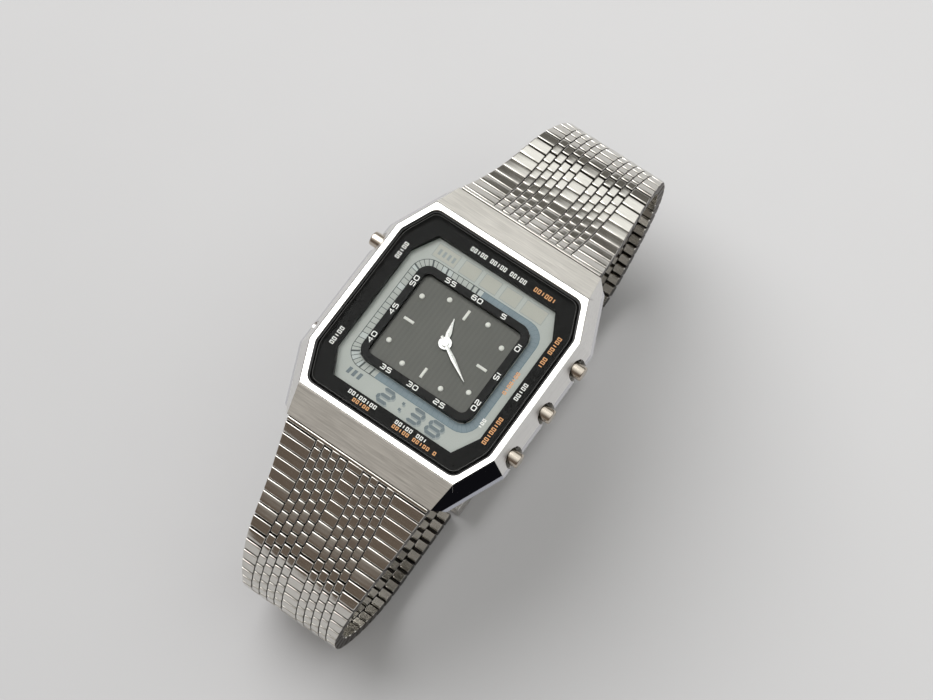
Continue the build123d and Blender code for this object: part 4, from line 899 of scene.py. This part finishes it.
def time_of_day(bm):
    for slot, rise, shift in ((SHADOW, 0.0, SHADOW_SHIFT), (MARK, MARK_RISE, (0.0, 0.0))):
        for digit, x0, x1 in TIME:
            bar_digit(bm, digit, x0, x1, LCD + rise, slot, shift)
        for y in COLON_Y:
            low, high = y - COLON_HALF + shift[1], y + COLON_HALF + shift[1]
            dot = rectangle(COLON_X[0] + shift[0], COLON_X[1] + shift[0], low, high)
            plate(bm, dot, LCD + rise, SEGMENT, slot)


# Plain flags: slanted ones beside the time, upright ones in the first window
TIME_FLAGS_X = (-9.9, -8.95, -8.0)
TIME_FLAGS_Y = (-12.05, -10.95)
TIME_FLAG_WIDTH = 0.55
TIME_FLAG_SLANT = 0.15
WINDOW_FLAGS_X = (-9.6, -8.75, -7.9, -7.05)
WINDOW_FLAGS_Y = (11.35, 12.35)
WINDOW_FLAG_WIDTH = 0.45


def flag(bm, x, width, slant, low, high, slot):
    outline = [(x, low), (x + width, low), (x + width + slant, high), (x + slant, high)]
    plate(bm, outline, LCD + MARK_RISE, SEGMENT, slot)


def display_signs():
    bm = bmesh.new()
    windows(bm)
    track(bm)
    time_of_day(bm)
    for x in TIME_FLAGS_X:
        flag(bm, x, TIME_FLAG_WIDTH, TIME_FLAG_SLANT, *TIME_FLAGS_Y, MARK)
    for x in WINDOW_FLAGS_X:
        flag(bm, x, WINDOW_FLAG_WIDTH, 0.0, *WINDOW_FLAGS_Y, SHADOW)
    finish("display_signs", bm, LCD_FINISHES, "case")


display_signs()


# Plain marks on the black frame, and two on the display
WHITE, ORANGE = 0, 1
FRAME_TOP = -0.862
DISPLAY_TOP = LCD + 0.02
BOX_PITCH = 0.62
BOX_HALF_SHARE = 0.36
BOX_LINE = 0.14
BAR_LINE = 0.16
MARK_INSET = 0.06
MARK_INK = 0.01
LONG_ROW = 8
SPACE_EACH = 6
BAR_EACH = 3
TOP_Y = 14.75
LEFT_X = -14.1
RIGHT_X = 13.95
LOWER_Y = (-14.4, -15.2)
FRAME_ROWS = (
    ((-5.6, TOP_Y), (5.3, TOP_Y), 0.72, WHITE),
    ((6.1, TOP_Y), (10.1, TOP_Y), 0.72, ORANGE),
    ((LEFT_X, 6.9), (LEFT_X, 10.0), 0.7, WHITE),
    ((LEFT_X, -10.0), (LEFT_X, -6.7), 0.7, WHITE),
    ((RIGHT_X, 10.5), (RIGHT_X, 4.7), 0.68, ORANGE),
    ((RIGHT_X, 1.6), (RIGHT_X, -1.6), 0.68, WHITE),
    ((RIGHT_X, -4.9), (RIGHT_X, -9.9), 0.68, ORANGE),
    ((-7.5, LOWER_Y[0]), (-2.3, LOWER_Y[0]), 0.62, WHITE),
    ((-6.2, LOWER_Y[1]), (-3.1, LOWER_Y[1]), 0.58, ORANGE),
    ((1.1, LOWER_Y[0]), (6.9, LOWER_Y[0]), 0.62, WHITE),
    ((1.1, LOWER_Y[1]), (9.2, LOWER_Y[1]), 0.58, ORANGE),
)
DISPLAY_ROWS = (
    ((11.75, 2.7), (11.75, -1.5), 0.6, ORANGE),
    ((11.8, -6.2), (11.8, -7.9), 0.6, WHITE),
)


def mark_row(bm, top, first, last, tall, slot):
    # A row of small plain boxes and bars between two points
    start = Vector(first)
    reach = Vector(last) - start
    along = reach.normalized()
    angle = degrees(atan2(along.y, along.x))
    count = max(2, round(reach.length / BOX_PITCH))
    pitch = reach.length / count
    half_tall = tall / 2 - MARK_INSET
    half_wide = pitch * BOX_HALF_SHARE - MARK_INSET
    for i in range(count):
        if count > LONG_ROW and i % SPACE_EACH == SPACE_EACH - 1:
            continue
        middle = start + along * ((i + 0.5) * pitch)
        place = turned(middle.x, middle.y, angle)
        if i % BAR_EACH == BAR_EACH - 1:
            ribbon(bm, [(0, -half_tall), (0, half_tall)], BAR_LINE, top, MARK_INK, place, slot)
        else:
            box = rectangle(-half_wide, half_wide, -half_tall, half_tall)
            ribbon(bm, box, BOX_LINE, top, MARK_INK, place, slot, True)


def frame_marks():
    bm = bmesh.new()
    for top, rows in ((FRAME_TOP, FRAME_ROWS), (DISPLAY_TOP, DISPLAY_ROWS)):
        for row in rows:
            mark_row(bm, top, *row)
    finish("frame_marks", bm, [white_print, orange_print], "case")


frame_marks()


# Push buttons and the recessed setting button: profiles of (distance from the middle, radius)
BUTTON_Z = -3.3
BUTTONS = (("2h", 1, 8.3), ("3h", 1, 0.0), ("4h", 1, -8.4), ("10h", -1, 8.3))
BUTTON_PROFILE = (
    (14.78, 0.6), (16.3, 0.6), (16.3, 1.39), (16.63, 1.39), (16.63, 1.19), (19.4, 1.19),
    (19.56, 1.16), (19.66, 1.08), (19.7, 0.95), (19.72, 0.6), (19.73, 0.12),
)
SETTING_PROFILE = ((14.78, 0.44), (16.0, 0.44), (16.0, 0.79), (17.75, 0.79), (17.86, 0.7), (17.89, 0.2))
SETTING_Y = -8.4


def button(name, body, node_name, profile, side, y, sides):
    bm = bmesh.new()
    lathe_x(bm, [(side * x, r) for x, r in profile], y, BUTTON_Z, 0, sides)
    finish(name, bm, [button_steel], body, (node_name,))


for tag, side, y in BUTTONS:
    button("button_" + tag, "pusher_%s_body" % tag, "pusher_" + tag, BUTTON_PROFILE, side, y, sides=48)
button("setting_button", "set_button_body", "set_button", SETTING_PROFILE, -1, SETTING_Y, sides=40)


# Button springs, in metres: coils in the place of the solid's tubes
WIRE_RADIUS = 0.00009
WIRE_SIDES = 8
COIL_TURNS = 3
COIL_STEPS = 20


def coil(bm, x0, x1, radius, cy, cz):
    # A wire wound round a line along X
    total = COIL_TURNS * COIL_STEPS
    rings = []
    for i in range(total + 1):
        a = TURN * i / COIL_STEPS
        x = x0 + WIRE_RADIUS + (x1 - x0 - 2 * WIRE_RADIUS) * i / total
        ring = []
        for k in range(WIRE_SIDES):
            b = TURN * k / WIRE_SIDES
            r = radius - WIRE_RADIUS + WIRE_RADIUS * cos(b)
            ring.append(Vector((x + WIRE_RADIUS * sin(b), cy + r * cos(a), cz + r * sin(a))))
        rings.append(ring)
    skin(bm, rings)


def button_spring(tag):
    # A coil in the spring solid's box, with a mesh of its own
    low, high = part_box("spring_" + tag)
    y, z = (low[1] + high[1]) / 2, (low[2] + high[2]) / 2
    bm = bmesh.new()
    coil(bm, low[0], high[0], (high[1] - low[1]) / 2, y, z)
    spring = finish("coil_spring_" + tag, bm, [spring_steel], "case", ("spring_" + tag,))
    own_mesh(spring)


for tag, side, _ in BUTTONS:
    button_spring(tag)


# Bracelet: where it runs, as its fall in degrees after so many rows from the head
PITCH = 1.03
LAST = 66
SECTIONS = 6
PER_SECTION = LAST // SECTIONS
START = (22.45, -3.5)
UPPER_FALL = ((0, 40), (3, 33), (6, 18), (8, 11), (10, 34), (12, 44), (16, 94), (20, 130), (25, 142),
              (29, 180))
LOWER_FALL = ((0, 45), (3, 43), (6, 31), (8, 32), (10, 52), (12, 62), (15, 81), (18, 123.811),
              (22, 146), (26, 180))
START_HALF = 12.88
END_HALF = 9.0
TAPER_ROWS = 14.3


def fall(turns, row):
    for (row_a, fall_a), (row_b, fall_b) in zip(turns, turns[1:]):
        if row <= row_b:
            return fall_a + (row - row_a) / (row_b - row_a) * (fall_b - fall_a)
    return turns[-1][1]


def bracelet_line(turns):
    # A point (y, z) for each half row, y counted away from the head
    points = [START]
    for step in range(LAST):
        turn = radians(fall(turns, (step + 0.5) / 2))
        y, z = points[-1]
        points.append((y + PITCH * cos(turn), z - PITCH * sin(turn)))
    return points


def half_width(half_row):
    return START_HALF + min(half_row / 2 / TAPER_ROWS, 1) * (END_HALF - START_HALF)


def chord(line, a, b):
    # Middle, direction, outward normal and length of the chord between two half rows
    (ya, za), (yb, zb) = line[a], line[b]
    length = hypot(yb - ya, zb - za)
    along = Vector((yb - ya, zb - za)) / length
    return Vector(((ya + yb) / 2, (za + zb) / 2)), along, Vector((-along.y, along.x)), length


# One link: side view, then cross-sections that narrow towards its two flanks
HALF_THICK = 1.15
ROLL_RADIUS = 0.17
ROLL_STEPS = 4
CROWN = 0.006
CROWN_SHARE = 0.3
FLANK_LEVEL = -0.45
INNER_LEVEL = -0.9
INNER_RISE = 0.02
INNER_INSET = 0.1
BOTTOM_INSET = 0.3
ROW_GAP = 0.1
COLUMN_GAP = 0.075
CORNER_STEPS = ((0.0, 0.16), (0.05, 0.05), (0.16, 0.0))
CORNER_SHORTENING = 0.55
CORNER_DROP = 0.5
LINK_ROLL = 0.5
LINK_TILT = 0.8
TAPERED_FROM_X = 7.5
# Counted back from the last corner: the side view's faces into the gaps between rows, painted dark as
# shade
GAP_FACES = (-7, -6, -2, -1)
SHADE_SLOT = 3
LINK_BEVEL = 0.09
END_BEVEL = 0.05


def rolled_edge(x, start):
    points = []
    for k in range(ROLL_STEPS + 1):
        turn = radians(start - QUARTER / ROLL_STEPS * k)
        rise = HALF_THICK - ROLL_RADIUS + ROLL_RADIUS * sin(turn)
        points.append((x + ROLL_RADIUS * cos(turn), rise))
    return points


def link_profile(back, front):
    # Side view of a link: rolled outer edges, a slight crown and drawn-in inner edges
    low = -HALF_THICK + INNER_RISE
    points = rolled_edge(-back + ROLL_RADIUS, 2 * QUARTER)
    points += [(-back * CROWN_SHARE, HALF_THICK + CROWN), (front * CROWN_SHARE, HALF_THICK + CROWN)]
    points += rolled_edge(front - ROLL_RADIUS, QUARTER)
    points += [(front, FLANK_LEVEL), (front - INNER_INSET, INNER_LEVEL), (front - BOTTOM_INSET, low)]
    return points + [(-back + BOTTOM_INSET, low), (-back + INNER_INSET, INNER_LEVEL), (-back, FLANK_LEVEL)]


def corner_sections(x0, x1):
    # Place, inward shift and drop of the cross-sections from one flank to the other
    left = [(x0, inward, drop) for inward, drop in CORNER_STEPS]
    right = [(x1, -inward, drop) for inward, drop in reversed(CORNER_STEPS)]
    return left + right


def add_link(bm, side, where, x0, x1, taper=0.0, wobble=1.0, front=None):
    # x0 and x1 at the link's middle; taper is how much it narrows per millimetre along
    middle, along, normal, length = where
    back = length / 2 - ROW_GAP
    roll = radians(random.gauss(0, LINK_ROLL) * wobble)
    tilt = radians(random.gauss(0, LINK_TILT) * wobble)
    centre = (x0 + x1) / 2
    profile = link_profile(back, back if front is None else front)
    rings = []
    for x, inward, drop in corner_sections(x0, x1):
        narrowing = copysign(1, x) * taper if abs(x) > TAPERED_FROM_X else 0.0
        ring = []
        for t, n in profile:
            xx = x + inward + narrowing * t
            tt = t * (1 - drop * CORNER_SHORTENING)
            nn = min(n, HALF_THICK - drop * CORNER_DROP) + roll * (xx - centre) + tilt * t
            p = middle + along * tt + normal * nn
            ring.append(at(xx, side * p.x, p.y))
        rings.append(ring)
    faces = skin(bm, rings)
    # The link's flank ends take the steel with painted shade
    faces[-1].material_index = faces[-2].material_index = SHADE_SLOT
    corners = len(profile)
    for i, face in enumerate(faces[:-2]):
        if i % corners - corners in GAP_FACES:
            face.material_index = SHADE_SLOT


# Columns of links across the bracelet, with the half rows in which they start
MIDDLE_HALF = 1.4
NARROW = 1.45
NARROW_COLUMNS = 4


def columns():
    # x bounds and parity of every column; None is the flank, which the outermost ones reach
    out = [(-MIDDLE_HALF, MIDDLE_HALF, 1)]
    for k in range(NARROW_COLUMNS):
        low, high = MIDDLE_HALF + NARROW * k, MIDDLE_HALF + NARROW * (k + 1)
        out += [(low, high, k % 2), (-high, -low, k % 2)]
    edge = MIDDLE_HALF + NARROW * NARROW_COLUMNS
    return out + [(edge, None, 0), (None, -edge, 0)]


def bounds_at(column, half_row):
    low, high, _ = column
    x0 = -half_width(half_row) if low is None else low + COLUMN_GAP
    x1 = half_width(half_row) if high is None else high - COLUMN_GAP
    return x0, x1


# Core painted near-black as the shade between the links, and pins that show between them
CORE_HALF = 0.40
CORE_END_GAP = 0.16
CORE_SIDE_GAP = 0.12
PIN_SIDE_GAP = 0.04
PIN_RADIUS = 0.24
PIN_TIP_RADIUS = 0.1
PIN_SIDES = 14


def core(bm, side, line, first, last, slot):
    outer = []
    inner = []
    for h in range(first, last + 1):
        _, along, normal, _ = chord(line, max(h - 1, first), min(h + 1, last))
        shift = CORE_END_GAP if h == first else -CORE_END_GAP if h == last else 0
        p = Vector(line[h]) + along * shift
        outer.append((p + normal * CORE_HALF, h))
        inner.append((p - normal * CORE_HALF, h))
    rings = []
    for sign in (-1, 1):
        loop = outer + inner[::-1]
        rings.append([at(sign * (half_width(h) - CORE_SIDE_GAP), side * p.x, p.y) for p, h in loop])
    skin(bm, rings, slot)


def link_pin(bm, side, line, h, slot):
    (ya, za), (yb, zb) = line[h], line[h + 1]
    w = half_width(h + 0.5) - PIN_SIDE_GAP
    profile = [(-w, PIN_TIP_RADIUS), (-w + PIN_SIDE_GAP, PIN_RADIUS), (w - PIN_SIDE_GAP, PIN_RADIUS),
               (w, PIN_TIP_RADIUS)]
    lathe_x(bm, profile, side * (ya + yb) / 2, (za + zb) / 2, slot, PIN_SIDES)


# The upper half's last rows leave room for the clasp's end between their middle columns
NOTCH_LEFT = 4.3
NOTCH_RIGHT = 4.35
NOTCH_ROW = 62
NOTCH_CUT = 0.6


def section_link(bm, side, line, column, start):
    x0, x1 = bounds_at(column, start + 1)
    where = chord(line, start, start + 2)
    front = None
    if side == 1 and abs(x0) < NOTCH_LEFT and abs(x1) < NOTCH_RIGHT and start >= NOTCH_ROW:
        if start > NOTCH_ROW:
            return
        front = where[3] / 2 - NOTCH_CUT
    taper = (half_width(start + 2) - half_width(start)) / (2 * PITCH)
    add_link(bm, side, where, x0, x1, taper, front=front)


def section(side, tag, line, number):
    bm = bmesh.new()
    first = number * PER_SECTION
    last = first + PER_SECTION
    for column in columns():
        for start in range(first, last):
            if start % 2 == column[2] and start + 2 <= LAST:
                section_link(bm, side, line, column, start)
    core(bm, side, line, first + 1, last, 1)
    for h in range(first + 1, min(last, LAST - 1) + 1):
        link_pin(bm, side, line, h, 2)
    name = "%s_%d" % (tag, number + 1)
    mats = [link_steel, core_shade_steel, mirror_steel, end_shade_steel]
    finish("bracelet_links_" + name, bm, mats, "section_" + name, ("bracelet_" + name,),
                 bevel=LINK_BEVEL)


# End piece against the hood: a wide link, half links as fingers, a pin and a tongue
END_LEAN = 40
END_REACH = 0.76
END_GAP = 0.04
END_LENGTH = 0.83
FINGER_BACK = 0.2
FINGER_MORE = 0.4
FINGER_WOBBLE = 0.4
TONGUE_HALF = 6.0
TONGUE = ((18.9, -2.85), (21.6, -2.85), (20.9, -4.2), (20.4, -5.0), (18.9, -5.0))


def end_piece(side, tag, line):
    bm = bmesh.new()
    lean = radians(END_LEAN)
    along = Vector((cos(lean), -sin(lean)))
    normal = Vector((sin(lean), cos(lean)))
    middle = Vector(line[0]) - along * (END_REACH / 2 + END_GAP)
    reach = half_width(0)
    add_link(bm, side, (middle, along, normal, END_LENGTH), -reach, reach, wobble=0.0)
    middle, along, normal, length = chord(line, 0, 1)
    finger = (middle - along * FINGER_BACK, along, normal, length + FINGER_MORE)
    for column in columns():
        if column[2] == 1:
            x0, x1 = bounds_at(column, 0)
            add_link(bm, side, finger, x0, x1, wobble=FINGER_WOBBLE)
    link_pin(bm, side, line, 0, 1)
    skin(bm, [[at(x, side * y, z) for y, z in TONGUE] for x in (-TONGUE_HALF, TONGUE_HALF)])
    mats = [link_steel, mirror_steel, core_shade_steel, end_shade_steel]
    finish("end_piece_" + tag, bm, mats, "case", ("end_link_" + tag,), bevel=END_BEVEL)


for side, tag, turns in ((1, "12", UPPER_FALL), (-1, "6", LOWER_FALL)):
    line = bracelet_line(turns)
    for index in range(SECTIONS):
        section(side, tag, line, index)
    end_piece(side, tag, line)


# Table, in metres
TABLE_HALF = 2.0
TABLE_LEVEL = -0.0002
# Painted shade: the table's colour towards the lower strap
TABLE_SHADED = (0.475, 0.475, 0.48)
TABLE_FAR = (0.56, 0.56, 0.565)
TABLE_AXIS = (0.2, 0.98, 0.0)
TABLE_REACH = 0.09
TABLE_GRAIN = (0.02, 0.02, 0.02)
TABLE_GRAIN_DARK = 0.985


def table_material():
    # Pale, with painted shade: a little darker towards the lower strap
    mat, tree = new_material("table_top")
    coords = node(tree, "TexCoord").outputs["Object"]
    unshaded_share = spread(tree, along_axis(tree, coords, TABLE_AXIS), 0.0, 1.0, (-TABLE_REACH, TABLE_REACH))
    color = over(tree, rgb(TABLE_SHADED), rgb(TABLE_FAR), unshaded_share)
    fine = spread(tree, noise(tree, TABLE_GRAIN, 4.0), TABLE_GRAIN_DARK, 1.0)
    inputs = {"Base Color": shade(tree, color, fine), "Roughness": 0.75, "Specular IOR Level": 0.2}
    show(tree, node(tree, "BsdfPrincipled", inputs))
    return mat


def table():
    bm = bmesh.new()
    outline = rectangle(-TABLE_HALF, TABLE_HALF, -TABLE_HALF, TABLE_HALF)
    bm.faces.new([bm.verts.new((x, y, TABLE_LEVEL)) for x, y in outline])
    mesh = bpy.data.meshes.new("table")
    bm.to_mesh(mesh)
    bm.free()
    mesh.materials.append(table_material())
    obj = bpy.data.objects.new("table", mesh)
    bpy.context.scene.collection.objects.link(obj)


table()


# Room light: each colour shows where a direction's share along an axis goes from low to high
SKY = (1.2, 1.21, 1.19)
SKY_HEIGHT = (0.30, 0.60)
SKY_AXIS = (-0.1, 0.68, 0.68)
SKY_SWEEP = (-0.25, 0.75)
FRONT_WALL = (0.155, 0.123, 0.100)
BACK_WALL = (0.150, 0.144, 0.132)
WALL_SWEEP = (-0.3, 0.5)
STRIP = (0.45, 0.46, 0.50)
STRIP_SIDE = (0.55, 0.8)
STRIP_HEIGHT = (0.2, 0.1)
CARD = (0.006, 0.006, 0.008)
CARD_AXIS = (0.871, -0.217, 0.443)
CARD_EDGE = (0.925, 0.965)


def room_light():
    world = bpy.data.worlds.new("studio")
    bpy.context.scene.world = world
    world.use_nodes = True
    tree = world.node_tree
    tree.nodes.clear()
    outward = node(tree, "TexCoord").outputs["Generated"]

    def step(value, span):
        return spread(tree, value, 0.0, 1.0, span, "SMOOTHSTEP")

    def sweep(axis, span):
        return step(along_axis(tree, outward, axis), span)

    height = along_axis(tree, outward, (0, 0, 1))
    off_level = node(tree, "Math", {0: height}, operation="ABSOLUTE").outputs[0]
    room = over(tree, rgb(FRONT_WALL), rgb(BACK_WALL), sweep((0, 1, 0), WALL_SWEEP))
    above = product(tree, step(height, SKY_HEIGHT), sweep(SKY_AXIS, SKY_SWEEP))
    room = over(tree, room, rgb(SKY), above)
    low_right = product(tree, sweep((1, 0, 0), STRIP_SIDE), step(off_level, STRIP_HEIGHT))
    room = over(tree, room, rgb(STRIP), low_right)
    room = over(tree, room, rgb(CARD), sweep(CARD_AXIS, CARD_EDGE))
    back = node(tree, "Background", {"Color": room, "Strength": 1.0})
    node(tree, "OutputWorld", {"Surface": back.outputs[0]})


room_light()


# Key light, in metres and watts
KEY_DIRECTION = (-0.62, 0.2, 0.85)
KEY_DISTANCE = 2.2
KEY_SIZE = 2.3
KEY_POWER = 41.5
KEY_COLOR = (1.0, 0.985, 0.985)
KEY_TARGET = (0, 0, 0.02)


def key_light():
    light = bpy.data.lights.new("key_light", "AREA")
    light.shape = "DISK"
    light.size = KEY_SIZE
    light.energy = KEY_POWER
    light.color = KEY_COLOR
    obj = bpy.data.objects.new("key_light", light)
    toward = Vector(KEY_DIRECTION).normalized()
    obj.location = toward * KEY_DISTANCE + Vector(KEY_TARGET)
    obj.rotation_euler = toward.to_track_quat("Z", "Y").to_euler()
    bpy.context.scene.collection.objects.link(obj)


key_light()


# Camera at the photograph's angle
SENSOR = 36.0
IMAGE_WIDTH = 933
FOCAL_LENGTH = 2400
CAMERA_PLACE = (81.179, -92.045, 339.370)
CAMERA_ANGLES = (19.5317, 1.6561, 35.2902)
CLIP = (0.01, 20.0)


def photograph_camera():
    data = bpy.data.cameras.new("camera")
    data.sensor_width = SENSOR
    data.lens = FOCAL_LENGTH / IMAGE_WIDTH * SENSOR
    data.clip_start, data.clip_end = CLIP
    camera = bpy.data.objects.new("camera", data)
    camera.location = at(*CAMERA_PLACE)
    camera.rotation_euler = [radians(angle) for angle in CAMERA_ANGLES]
    bpy.context.scene.collection.objects.link(camera)
    bpy.context.scene.camera = camera


photograph_camera()
bpy.context.scene.view_settings.view_transform = "Standard"
